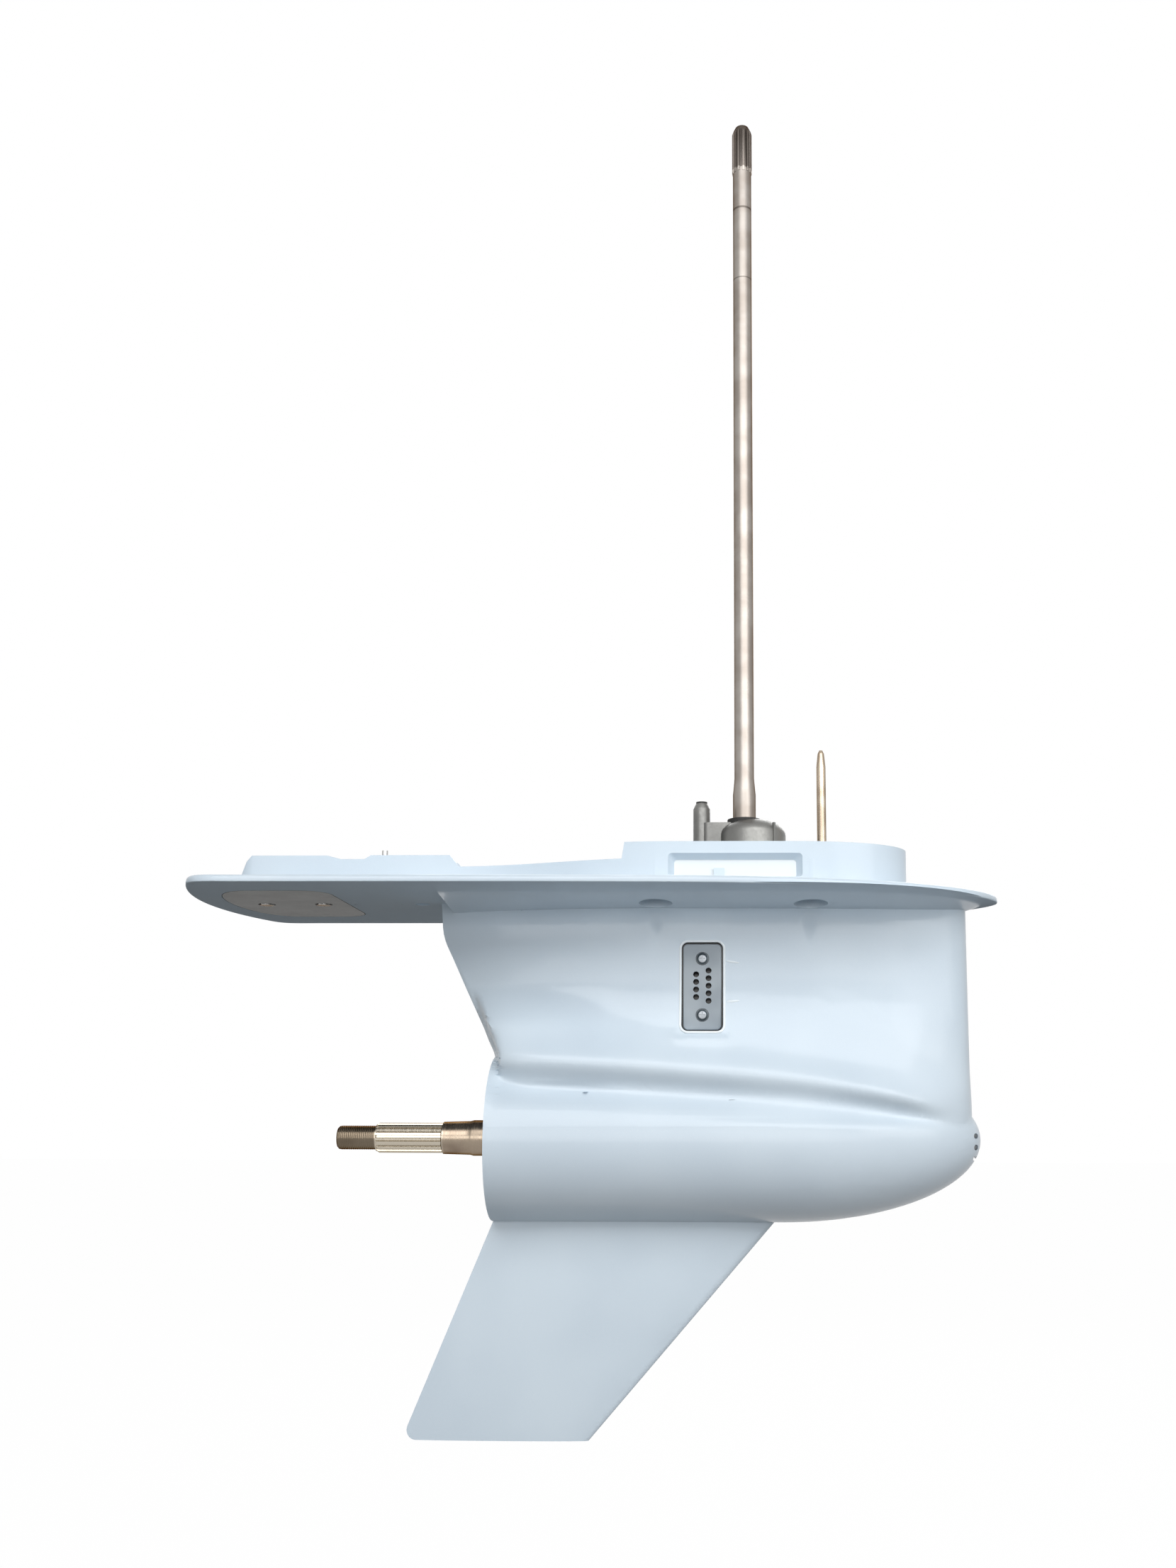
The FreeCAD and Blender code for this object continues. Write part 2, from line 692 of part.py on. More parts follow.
def prop_bores():
    """Stepped bore along the torpedo, open at the rear, with the shift cam chamber in front."""
    along = turned_x([(torpedo_rear_x - 5.0, 0), (torpedo_rear_x - 5.0, carrier_bore_r + 5.0),
                      (torpedo_rear_x, carrier_bore_r + 2.0), (torpedo_rear_x + 2.0, carrier_bore_r + seat_fit),
                      (chamber_x[0], carrier_bore_r + seat_fit), (chamber_x[0], chamber_r),
                      (chamber_x[1], chamber_r), (chamber_x[1], front_cup_r + seat_fit),
                      (front_cup_x[1], front_cup_r + seat_fit), (front_cup_x[1], cam_chamber_r),
                      (cam_chamber_x, cam_chamber_r), (cam_chamber_x + 8.0, 0)])
    half_gap = 13.0
    crank_room = block(shift_x - half_gap, shift_x + half_gap, -8.0, crank_throw + 6.5,
                       axis_z, axis_z + crank_arm_z[1] + 2.0)
    return [along, crank_room]


def ports():
    """Seats for the inlet screens, the ways in behind them, the plugs' seats and the nose holes."""
    seat = rounded_box_y(inlet_x[0] - inlet_gap, inlet_x[1] + inlet_gap,
                         axis_z + inlet_z[0] - inlet_gap, axis_z + inlet_z[1] + inlet_gap,
                         -70.0, inlet_thick - inlet_face_y, inlet_corner + inlet_gap)
    way = block(inlet_x[0] + 6.0, inlet_x[1] - 6.0, -inlet_face_y, inlet_port_depth - inlet_face_y,
                axis_z + inlet_z[0] + 21.0, axis_z + inlet_z[1] - 20.0)
    tools = [seat, mirrored(seat), way, mirrored(way)]
    for z in inlet_screw_levels():
        hole = cross_bar(inlet_screw_shank_r, -inlet_face_y, inlet_screw_length - inlet_face_y,
                         inlet_mid_x(), z)
        tools += [hole, mirrored(hole)]
    for x, y, up in (drain_plug_at, vent_plug_at):
        tools.append(cross_bar(plug_head_r + 1.0, y, y + 30.0, x, axis_z + up))
        tools.append(cross_bar(plug_shank_r, y - plug_shank_length - 3.0, y + 1.0, x, axis_z + up))
    for i in range(3):
        tools.append(cross_bar(nose_hole_r, -40.0, 40.0, nose_hole_x,
                               axis_z + nose_hole_top - i * nose_hole_pitch))
    return tools


def inlet_mid_x():
    return (inlet_x[0] + inlet_x[1]) / 2


def inlet_screw_levels():
    return [axis_z + inlet_z[0] + inlet_screw_inset, axis_z + inlet_z[1] - inlet_screw_inset]


def anode_wire(grow=0.0):
    """Outline of the plate under the tail: square in front, following the stern behind."""
    x0 = anode_x[0] - grow
    x1 = anode_x[1] + grow
    half = anode_half + grow
    front_r = 24.0 + grow
    rear_r = 38.0 + grow
    side = Part.makeLine(V(x1 - front_r, half, 0), V(x0 + rear_r, half, 0))
    front = curve((x1, half - front_r), (x1, half - front_r * 0.4), (x1 - front_r * 0.4, half),
                  (x1 - front_r, half))
    rear = curve((x0 + rear_r, half), (x0 + rear_r * 0.3, half), (x0, half * 0.55), (x0, 0.0))
    across = Part.makeLine(V(x1, front_r - half, 0), V(x1, half - front_r, 0))
    return both_sides([side, front, rear], [across])


def rear_holes():
    """Seat for the tail anode, its bolt holes, the rear bolt hole, two drain holes and the dowel hole."""
    seat = Part.Face(anode_wire(anode_gap)).extrude(V(0, 0, anode_thick + 5.0))
    seat.translate(V(0, 0, plate_bottom - 5.0))
    tools = [seat]
    for x in anode_bolt_x:
        tools.append(post(anode_bolt_r, plate_bottom, plate_top + anode_boss_height - 3.0, x))
    tools.append(post(rear_bolt_hole_r, plate_bottom - 5.0, plate_top + 20.0, rear_bolt_x))
    for x in drain_hole_x:
        tools.append(post(drain_hole_r, plate_bottom - 5.0, plate_top + 5.0, x))
    tools.append(post(dowel_r, -fin_front_drop - dowel_depth, 5.0, dowel_x, dowel_y()))
    return tools


def dowel_y():
    return -(fin_half - rim_wall / 2 - 1.0)


def inlet_screen():
    """Starboard screen: a rounded plate with two staggered columns of holes and two screw seats."""
    solid = rounded_box_y(inlet_x[0], inlet_x[1], axis_z + inlet_z[0], axis_z + inlet_z[1],
                          -inlet_face_y, inlet_thick - inlet_face_y, inlet_corner)
    rim = [e for e in solid.Edges if max(v.Y for v in e.Vertexes) < 0.1 - inlet_face_y]
    solid = solid.makeFillet(1.0, rim)
    mid = axis_z + sum(inlet_z) / 2
    tools = []
    for x, count in ((inlet_mid_x() - 5.2, 4), (inlet_mid_x() + 5.2, 5)):
        for i in range(count):
            z = mid + (i - (count - 1) / 2) * inlet_hole_pitch + 1.0
            tools.append(cross_bar(inlet_hole_r, -50.0, -20.0, x, z))
    for z in inlet_screw_levels():
        tools.append(cross_bar(inlet_screw_r + 0.6, -50.0, 2.0 - inlet_face_y, inlet_mid_x(), z))
        tools.append(cross_bar(inlet_screw_shank_r + 0.3, -50.0, -20.0, inlet_mid_x(), z))
    return solid.cut(Part.makeCompound(tools))


def inlet_screw(z):
    """Countersunk-style screw with a domed head and a cross slot."""
    head = -inlet_face_y - 0.6
    seat = 2.0 - inlet_face_y
    tip = inlet_screw_length - inlet_face_y - 0.5
    solid = turned_y([(0, head - 0.6), (inlet_screw_r * 0.6, head - 0.3), (inlet_screw_r, head + 0.8),
                      (inlet_screw_r, seat), (inlet_screw_shank_r, seat),
                      (inlet_screw_shank_r, tip), (0, tip)], inlet_mid_x(), z)
    slot = block(inlet_mid_x() - 2.6, inlet_mid_x() + 2.6, head - 2.0, head + 0.7, z - 0.5, z + 0.5)
    cross = block(inlet_mid_x() - 0.5, inlet_mid_x() + 0.5, head - 2.0, head + 0.7, z - 2.6, z + 2.6)
    return solid.cut(slot).cut(cross)


def tail_anode():
    """Flush plate under the tail, with a counterbored hole for each bolt."""
    solid = Part.Face(anode_wire()).extrude(V(0, 0, anode_thick))
    solid.translate(V(0, 0, plate_bottom))
    tools = []
    for x in anode_bolt_x:
        tools.append(post(anode_bolt_r + 0.4, plate_bottom - 1.0, plate_top, x))
        tools.append(post(anode_head_r + 1.0, plate_bottom - 1.0, plate_bottom + anode_sink, x))
    return solid.cut(Part.makeCompound(tools))


def hex_bolt_up(r, head_r, head_z, head_thick, tip_z, x, y=0.0):
    """Hexagon-headed bolt whose shank points up."""
    head = prism([(x + head_r * math.cos(math.radians(60 * i)), y + head_r * math.sin(math.radians(60 * i)))
                  for i in range(6)], head_z, head_z + head_thick)
    return joined([head, post(r, head_z + head_thick - 0.5, tip_z, x, y)])


def hex_bolt_down(r, head_r, head_z, head_thick, tip_z, x, y=0.0):
    """Hexagon-headed bolt whose shank points down from under its head."""
    head = prism([(x + head_r * math.cos(math.radians(60 * i)), y + head_r * math.sin(math.radians(60 * i)))
                  for i in range(6)], head_z, head_z + head_thick)
    return joined([head, post(r, tip_z, head_z + 0.5, x, y)])


def splined(r_top, r_root, teeth, start, length, grow=0.0):
    """Splined bar along Z from a height, as one straight-flanked outline."""
    pitch = 2 * math.pi / teeth
    corners = []
    for i in range(teeth):
        mid = i * pitch
        for radius, share in ((r_root, -0.32), (r_top, -0.2), (r_top, 0.2), (r_root, 0.32)):
            turn = mid + share * pitch + math.copysign(grow / radius, share)
            corners.append(((radius + grow) * math.cos(turn), (radius + grow) * math.sin(turn)))
    return prism(corners, start, start + length)


def laid_along_x(solid):
    """Turn a bar made upward along Z so that it points forward along the propeller shaft axis."""
    copy = solid.copy()
    copy.rotate(V(0, 0, 0), V(0, 1, 0), 90)
    copy.translate(V(0, 0, axis_z))
    return copy


def driveshaft():
    """Long shaft from the engine's crankshaft down to the pinion."""
    spline_low = drive_top - drive_spline_length
    low = axis_z + lower_bearing_up[0]
    seat_low = axis_z + pinion_seat_up()
    bar_low = axis_z + nut_up() + 1.0
    shaft = turned_z([(0, bar_low), (pinion_thread_r, bar_low), (pinion_thread_r, seat_low),
                      (pinion_seat_r, seat_low), (pinion_seat_r, low - 4.0), (drive_low_r, low - 4.0),
                      (drive_low_r, low + 30.0), (drive_low_r - 1.0, low + 32.0),
                      (drive_low_r - 1.0, upper_bearing_z[0] - 8.0), (drive_cone_r, upper_bearing_z[0] - 4.0),
                      (drive_cone_r, upper_bearing_z[1]), (drive_seal_r, upper_bearing_z[1] + 1.0),
                      (drive_seal_r, pump_floor), (drive_pump_r, pump_floor + 1.0),
                      (drive_pump_r, drive_swell_z[0]), (drive_r, drive_swell_z[1]),
                      (drive_r, spline_low - 1.0), (0, spline_low - 1.0)])
    crown = splined(drive_spline_r, drive_spline_r - 1.3, drive_spline_teeth, spline_low - 4.0,
                    drive_spline_length + 4.0)
    dome = turned_z([(0, spline_low - 5.0), (drive_r, spline_low - 5.0),
                     (drive_spline_r + 1.0, spline_low + 1.0), (drive_spline_r + 1.0, drive_top - 12.0),
                     (drive_spline_r - 0.8, drive_top - 6.0), (drive_spline_r - 3.0, drive_top - 1.5),
                     (drive_spline_r - 5.5, drive_top), (0, drive_top)])
    crown = crown.common(dome)
    key_way = block(drive_pump_r - 2.0, drive_pump_r + 2.0, -2.0, 2.0, impeller_low() + 3.0,
                    impeller_low() + impeller_height - 3.0)
    return joined([shaft, crown]).cut(key_way)


def impeller_low():
    return pump_floor + pump_base_thick + pump_gasket_thick + face_gap


def pinion_seat_up():
    return 35.5


def nut_up():
    """Height of the pinion nut's lower face above the propeller shaft axis."""
    return 28.0


def tooth_half_width(h, pitch_r, teeth, cone):
    """Half width of a bevel tooth at a height above its pitch cone, as on its back cone's spur gear."""
    spur_pitch = pitch_r / math.cos(cone)
    spur_teeth = teeth / math.cos(cone)
    base = spur_pitch * math.cos(pressure_angle)
    r = spur_pitch + h
    at_r = math.acos(min(1.0, base / r))
    involute = math.tan(pressure_angle) - pressure_angle - (math.tan(at_r) - at_r)
    return r * (math.pi / (2 * spur_teeth) + involute) - tooth_slack


def bevel_tooth(pitch_r, teeth, cone):
    """One straight bevel tooth, shrinking towards the point where the shafts cross."""
    module = 2 * pitch_r / teeth
    back = pitch_r / math.tan(cone)
    reach = math.hypot(pitch_r, back)
    top = addendum_share * module
    bottom = -dedendum_share * module - 1.0
    heights = [bottom, -0.45 * module, 0.0, 0.45 * module, top]
    flank = [(h, tooth_half_width(h, pitch_r, teeth, cone)) for h in heights]
    outline = [(h, w) for h, w in flank] + [(h, -w) for h, w in reversed(flank)]
    wires = []
    for scale in (1.0, 1.0 - face_share):
        points = [V(scale * (pitch_r + h * math.cos(cone)), scale * w, scale * (back - h * math.sin(cone)))
                  for h, w in outline]
        wires.append(Part.makePolygon(points + points[:1]))
    return Part.makeLoft(wires, True, True)


def bevel_ring(pitch_r, teeth, cone, bore, back_z, phase):
    """Toothed cone about Z with its apex at the origin. Phase is in tooth pitches."""
    module = 2 * pitch_r / teeth
    back = pitch_r / math.tan(cone)
    root = -dedendum_share * module
    foot = (pitch_r + root * math.cos(cone), back - root * math.sin(cone))
    toe = ((1 - face_share) * foot[0], (1 - face_share) * foot[1])
    blank_points = [(bore, toe[1]), toe, foot, (foot[0], back_z), (bore, back_z)]
    corners = [V(r, 0, z) for r, z in blank_points]
    blank = Part.Face(Part.makePolygon(corners + corners[:1])).revolve(V(0, 0, 0), V(0, 0, 1), 360)
    tooth = bevel_tooth(pitch_r, teeth, cone)
    solids = [blank]
    for i in range(teeth):
        copy = tooth.copy()
        copy.rotate(V(0, 0, 0), V(0, 0, 1), (i + phase) * 360.0 / teeth)
        solids.append(copy)
    return joined(solids)


def pinion():
    """Small bevel gear on the driveshaft, counterbored below for its nut."""
    cone = math.atan(pinion_teeth / gear_teeth)
    pitch_r = gear_pitch_r * pinion_teeth / gear_teeth
    back_z = lower_bearing_up[0] - 4.0
    solid = bevel_ring(pitch_r, pinion_teeth, cone, pinion_seat_r + 0.02, back_z, 0.0)
    solid.translate(V(0, 0, axis_z))
    nut_room = post(10.6, axis_z + 20.0, axis_z + pinion_seat_up(), 0.0)
    return solid.cut(nut_room)


def pinion_nut():
    """Hexagon nut drawn up into the pinion."""
    corners = [(9.6 * math.cos(math.radians(60 * i)), 9.6 * math.sin(math.radians(60 * i))) for i in range(6)]
    nut = prism(corners, axis_z + nut_up(), axis_z + pinion_seat_up())
    return nut.cut(post(pinion_thread_r + 0.02, axis_z + 20.0, axis_z + 60.0))


def jaws(inner_r, outer_r, x0, x1, start):
    """Ring of clutch jaws between two places along X, as sectors cut from a turned ring."""
    made = []
    for i in range(jaw_count):
        corners = [V(x0, 0, axis_z + inner_r), V(x1, 0, axis_z + inner_r), V(x1, 0, axis_z + outer_r),
                   V(x0, 0, axis_z + outer_r)]
        face = Part.Face(Part.makePolygon(corners + corners[:1]))
        face.rotate(V(0, 0, axis_z), V(1, 0, 0), start + i * 360.0 / jaw_count - jaw_width / 2)
        made.append(face.revolve(V(0, 0, axis_z), V(1, 0, 0), jaw_width))
    return made


def crown_gear():
    """Forward gear: bevel ring, clutch jaws on its inner face and a hub for its bearing behind."""
    cone = math.atan(gear_teeth / pinion_teeth)
    ring = bevel_ring(gear_pitch_r, gear_teeth, cone, gear_bush_r, gear_back_x, 0.5)
    ring = laid_along_x(ring)
    root = gear_jaw_tip_x + jaw_height
    inner = washer_x(28.0, gear_bush_r, root, gear_back_x)
    hub = washer_x(gear_hub_r, gear_bush_r, root, front_cup_x[1] - 0.5)
    clear = bar(dog_r + 1.5, 0.0, root)
    ring = ring.cut(clear)
    return joined([ring, inner, hub] + jaws(jaw_inner_r, dog_r, gear_jaw_tip_x, root + 0.5, 0.0))


def reverse_gear():
    """Reverse gear: the forward gear's mirror image with a shorter hub in a ball bearing."""
    cone = math.atan(gear_teeth / pinion_teeth)
    bore = prop_mid_r + run_fit
    ring = bevel_ring(gear_pitch_r, gear_teeth, cone, bore, gear_back_x, 0.5)
    ring = laid_along_x(ring)
    root = gear_jaw_tip_x + jaw_height
    inner = washer_x(28.0, bore, root, gear_back_x)
    hub = washer_x(gear_hub_r, bore, root, -carrier_cup_x - 1.0)
    clear = bar(dog_r + 1.5, 0.0, root)
    ring = ring.cut(clear)
    solid = joined([ring, inner, hub] + jaws(jaw_inner_r, dog_r, gear_jaw_tip_x, root + 0.5, 0.0))
    return solid.mirror(V(0, 0, 0), V(1, 0, 0))


def clutch_dog():
    """Sliding sleeve with jaws at both ends, splined on the propeller shaft."""
    ring = washer_x(dog_r, prop_dog_r - 2.0, -dog_half, dog_half)
    half_pitch = 180.0 / jaw_count
    solid = joined([ring] + jaws(jaw_inner_r, dog_r, dog_half - 0.5, dog_half + jaw_height, half_pitch / 2)
                   + jaws(jaw_inner_r, dog_r, -dog_half - jaw_height, 0.5 - dog_half, half_pitch / 2))
    bore = laid_along_x(splined(prop_dog_r, prop_dog_r - 1.2, prop_dog_teeth, -30.0, 60.0, 0.08))
    groove = washer_x(dog_r + 2.0, dog_r - 1.6, -1.6, 1.6)
    pin_hole = cross_bar(cross_pin_r + 0.02, -40.0, 40.0, 0.0, axis_z)
    return solid.cut(bore).cut(groove).cut(pin_hole)


def prop_shaft():
    """Propeller shaft: thread, splines and cone outside, journals and clutch splines inside."""
    spline_low = -40.0
    thread_relief = 1.2
    shaft = turned_x([(prop_end_x, 0), (prop_end_x, prop_thread_r - 1.2), (prop_end_x + 1.2, prop_thread_r),
                      (prop_thread_x, prop_thread_r), (prop_thread_x, prop_spline_r - 1.4),
                      (prop_spline_x, prop_spline_r - 1.4), (prop_spline_x + thread_relief, prop_cone_r),
                      (prop_cone_x, prop_cone_r + 0.6), (prop_cone_x + 3.0, prop_seal_r),
                      (-20.0, prop_mid_r), (-20.0, prop_dog_r - 1.2), (20.0, prop_dog_r - 1.2),
                      (20.0, prop_front_r), (prop_front_x, prop_front_r), (prop_front_x, 0)])
    tail = laid_along_x(splined(prop_spline_r, prop_spline_r - 1.4, prop_spline_teeth, prop_thread_x,
                                prop_spline_x - prop_thread_x + 0.5))
    lead = turned_x([(prop_thread_x - 1.0, 0), (prop_thread_x - 1.0, prop_thread_r + 0.5),
                     (prop_thread_x + 3.0, prop_spline_r + 0.5), (prop_spline_x + 1.0, prop_spline_r + 0.5),
                     (prop_spline_x + 1.0, 0)])
    middle = laid_along_x(splined(prop_dog_r, prop_dog_r - 1.2, prop_dog_teeth, spline_low + 20.0, 40.0))
    solid = joined([shaft, tail.common(lead), middle])
    slide = cross_pin_r + shift_travel + face_gap
    bore = bar(follower_rod_r + run_fit, -14.0, prop_front_x + 5.0)
    slot = block(-slide, slide, -30.0, 30.0, axis_z - cross_pin_r - 0.1, axis_z + cross_pin_r + 0.1)
    centre = turned_x([(prop_end_x - 1.0, 0), (prop_end_x - 1.0, 4.0), (prop_end_x + 5.0, 0)])
    return solid.cut(bore).cut(slot).cut(centre)


def follower():
    """Spool that the shift crank moves, with the rod that carries the clutch's cross pin."""
    half_groove = crank_pin_r + 0.35
    outer = half_groove + spool_flange
    spool = turned_x([(shift_x - outer, 0), (shift_x - outer, spool_r), (shift_x - half_groove, spool_r),
                      (shift_x - half_groove, spool_core_r), (shift_x + half_groove, spool_core_r),
                      (shift_x + half_groove, spool_r), (shift_x + outer, spool_r),
                      (shift_x + outer + 2.0, 6.0), (shift_x + outer + 2.0, 0)])
    rod = bar(follower_rod_r, -6.5, shift_x)
    return joined([spool, rod]).cut(cross_bar(cross_pin_r + 0.02, -10.0, 10.0, 0.0, axis_z))


def shift_rod():
    """Upright rod with a crank at its foot that swings the follower fore and aft."""
    foot = axis_z + crank_arm_z[0]
    neck = bush_z[1] + 1.5
    rod = turned_z([(0, foot), (shift_low_r, foot), (shift_low_r, neck), (shift_r, neck + 0.5),
                    (shift_r, shift_top - shift_tip_length),
                    (shift_r - 1.2, shift_top - 3.0), (shift_r - 2.6, shift_top), (0, shift_top)], shift_x)
    arm_high = axis_z + crank_arm_z[1]
    arm = block(shift_x - 5.0, shift_x + 5.0, 0.0, crank_throw, foot, arm_high)
    ends = [post(5.0, foot, arm_high, shift_x), post(5.0, foot, arm_high, shift_x, crank_throw)]
    pin = post(crank_pin_r, axis_z + crank_pin_low, arm_high, shift_x, crank_throw)
    return joined([rod, arm] + ends + [pin])


def shift_bush():
    """Flanged bush that guides the shift rod in the deck."""
    body = washer_z(bush_r, shift_low_r + run_fit, bush_z[0], bush_z[1], shift_x)
    return body.cut(post(shift_low_r + 2.5, bush_z[1] - 5.0, bush_z[1] + 1.0, shift_x))


def tapered_bearing_z(z0, z1, cup_r, cone_r):
    """Cup and cone of an upright tapered roller bearing. The rollers are part of the cone's file."""
    roller_count = 14
    slope = 0.24
    roller_r = 3.4
    mid_z = (z0 + z1) / 2
    length = (z1 - z0) * 0.62
    path_r = (cup_r + cone_r) / 2 + 0.6
    lean = math.atan(slope)
    race = path_r + roller_r / math.cos(lean) + 0.25
    low_race = race - slope * (z1 - z0) / 2
    high_race = race + slope * (z1 - z0) / 2
    cup = turned_z([(low_race, z0), (cup_r, z0), (cup_r, z1), (high_race, z1)])
    seat = path_r - roller_r / math.cos(lean) - 0.02
    low_seat = seat - slope * length / 2
    high_seat = seat + slope * length / 2
    lip = 1.5
    cone = turned_z([(cone_r, z0), (low_seat, z0), (low_seat, mid_z - length / 2),
                     (high_seat, mid_z + length / 2), (high_seat + lip, mid_z + length / 2 + 0.3),
                     (high_seat + lip, z1), (cone_r, z1)])
    rollers = []
    for i in range(roller_count):
        turn = 2 * math.pi * i / roller_count
        lower = V((path_r - slope * length / 2) * math.cos(turn), (path_r - slope * length / 2) * math.sin(turn),
                  mid_z - length / 2)
        way = V(math.sin(lean) * math.cos(turn), math.sin(lean) * math.sin(turn), math.cos(lean))
        rollers.append(Part.makeCylinder(roller_r, length * 0.98, lower, way))
    return cup, [cone] + rollers


def upper_bearing():
    return tapered_bearing_z(upper_bearing_z[0], upper_bearing_z[1], upper_bearing_r, drive_cone_r + 0.02)


def front_bearing():
    """The forward gear's tapered bearing, made upright and then laid along X."""
    cup, cone = tapered_bearing_z(front_cup_x[0], front_cup_x[1] - 0.5, front_cup_r, gear_hub_r + 0.02)
    return laid_along_x(cup), [laid_along_x(s) for s in cone]


def needle_ring_z(r_out, r_shaft, z0, z1, needle_r, count):
    """Drawn cup needle bearing: an outer shell and the needles inside it."""
    shell = washer_z(r_out, r_shaft + 2 * needle_r + 0.06, z0, z1)
    lips = [washer_z(r_shaft + 2 * needle_r + 0.5, r_shaft + 1.0, z0, z0 + 1.0),
            washer_z(r_shaft + 2 * needle_r + 0.5, r_shaft + 1.0, z1 - 1.0, z1)]
    path = r_shaft + needle_r + 0.04
    needles = [post(needle_r - 0.01, z0 + 1.2, z1 - 1.2, path * math.cos(2 * math.pi * i / count),
                    path * math.sin(2 * math.pi * i / count)) for i in range(count)]
    return [joined([shell] + lips)] + needles


def lower_needles():
    return needle_ring_z(lower_bearing_r, drive_low_r, axis_z + lower_bearing_up[0],
                         axis_z + lower_bearing_up[1], lower_needle_r, 20)


def carrier_needles():
    ring = needle_ring_z(carrier_needle_r, prop_mid_r, carrier_needle_x[0], carrier_needle_x[1], 2.0, 20)
    return [laid_along_x(s) for s in ring]


def seal_carrier():
    """Round housing over the upper bearing that holds the driveshaft's oil seals."""
    low, high = carrier_seal_z
    room = 19.0
    body = turned_z([(drive_seal_r + 2.0, low), (carrier_seal_r, low), (carrier_seal_r, high),
                     (room, high), (room, high - 22.0), (drive_seal_r + 2.0, high - 22.0)])
    groove = washer_z(carrier_seal_r + 1.0, carrier_seal_r - 2.2, low + 8.0, low + 11.2)
    return body.cut(groove)


def lip_seal_z(r_out, r_shaft, z0, z1, up):
    """Rubber lip seal about Z: a rim, a web and a lip that leans up or down towards the shaft."""
    lip = r_shaft + run_fit
    web = 2.0
    if up:
        return turned_z([(r_out, z0), (r_out, z1), (r_out - 2.0, z1), (r_out - 2.0, z0 + web),
                         (lip + 2.5, z0 + web), (lip, z1 - 1.0), (lip, z0 + web), (lip + 1.0, z0)])
    return turned_z([(r_out, z1), (r_out, z0), (r_out - 2.0, z0), (r_out - 2.0, z1 - web),
                     (lip + 2.5, z1 - web), (lip, z0 + 1.0), (lip, z1 - web), (lip + 1.0, z1)])


def drive_seals():
    high = carrier_seal_z[1]
    return [lip_seal_z(19.0 - 0.02, drive_seal_r, high - 21.5, high - 12.5, False),
            lip_seal_z(19.0 - 0.02, drive_seal_r, high - 11.5, high - 2.5, True)]


def prop_seals():
    x0, x1 = carrier_seal_x
    mid = (x0 + x1) / 2
    return [laid_along_x(lip_seal_z(carrier_needle_r, prop_mid_r, x0, mid - 0.2, False)),
            laid_along_x(lip_seal_z(carrier_needle_r, prop_mid_r, mid + 0.2, x1, True))]


def bearing_carrier():
    """Aluminium carrier that closes the torpedo's rear, with exhaust windows between its ribs."""
    bore = prop_mid_r + 1.5
    hub = turned_x([(carrier_front_x, carrier_cup_r + 0.02), (carrier_front_x, carrier_bore_r),
                    (carrier_ring_x, carrier_bore_r), (carrier_ring_x - 14.0, carrier_hub_r),
                    (carrier_rear_x, carrier_hub_r - 2.0), (carrier_rear_x, carrier_needle_r + 0.02),
                    (carrier_needle_x[1], carrier_needle_r + 0.02),
                    (carrier_needle_x[1], bore), (carrier_cup_x - 3.0, bore),
                    (carrier_cup_x - 3.0, carrier_cup_r - 6.0), (carrier_cup_x, carrier_cup_r - 6.0),
                    (carrier_cup_x, carrier_cup_r + 0.02)])
    rim = washer_x(carrier_bore_r, carrier_bore_r - 7.0, carrier_rear_x, carrier_rear_x + 16.0)
    ribs = []
    for i in range(carrier_rib_count):
        rib = block(carrier_rear_x, carrier_ring_x, -carrier_rib_thick / 2, carrier_rib_thick / 2,
                    axis_z + carrier_hub_r - 4.0, axis_z + carrier_bore_r - 3.0)
        slope = side_prism([(carrier_rear_x + 16.0, axis_z + carrier_bore_r + 1.0),
                            (carrier_rear_x + 34.0, axis_z + carrier_hub_r + 6.0),
                            (carrier_ring_x - 16.0, axis_z + carrier_hub_r + 6.0),
                            (carrier_ring_x - 6.0, axis_z + carrier_bore_r + 1.0)], -20.0, 20.0)
        ribs.append(around_x(rib.cut(slope), 45.0 + i * 360.0 / carrier_rib_count))
    groove = washer_x(carrier_bore_r + 1.0, carrier_bore_r - 2.45, carrier_ring_x + 12.0, carrier_ring_x + 16.0)
    return joined([hub, rim] + ribs).cut(groove)


def reverse_bearing():
    """Ball bearing of the reverse gear: outer race, then inner race with its balls."""
    x0, x1 = carrier_cup_x + 0.5, carrier_front_x - 0.2
    mid = (x0 + x1) / 2
    inner_r = gear_hub_r + 0.02
    path = (carrier_cup_r + inner_r) / 2
    ball_r = 5.0
    channel = Part.makeTorus(path, ball_r + 0.3, V(mid, 0, axis_z), V(1, 0, 0))
    inner_channel = Part.makeTorus(path, ball_r + 0.02, V(mid, 0, axis_z), V(1, 0, 0))
    outer = washer_x(carrier_cup_r, path + 2.5, x0, x1).cut(channel)
    inner = washer_x(path - 2.5, inner_r, x0, x1).cut(inner_channel)
    balls = []
    for i in range(12):
        turn = 2 * math.pi * i / 12
        balls.append(Part.makeSphere(ball_r, V(mid, path * math.cos(turn), axis_z + path * math.sin(turn))))
    return outer, [inner] + balls


def tab_washer():
    """Thin locking ring with bent-up tabs between carrier and ring nut."""
    x0 = carrier_rear_x - tab_washer_thick
    ring = washer_x(carrier_bore_r - 0.5, ring_nut_inner_r, x0, carrier_rear_x)
    tab = block(x0 - 6.0, x0 + 0.5, -4.0, 4.0, axis_z + ring_nut_inner_r - 1.6, axis_z + ring_nut_inner_r - 0.1)
    foot = block(x0, carrier_rear_x, -4.0, 4.0, axis_z + ring_nut_inner_r - 1.6, axis_z + ring_nut_inner_r + 1.0)
    return joined([ring, tab, foot])


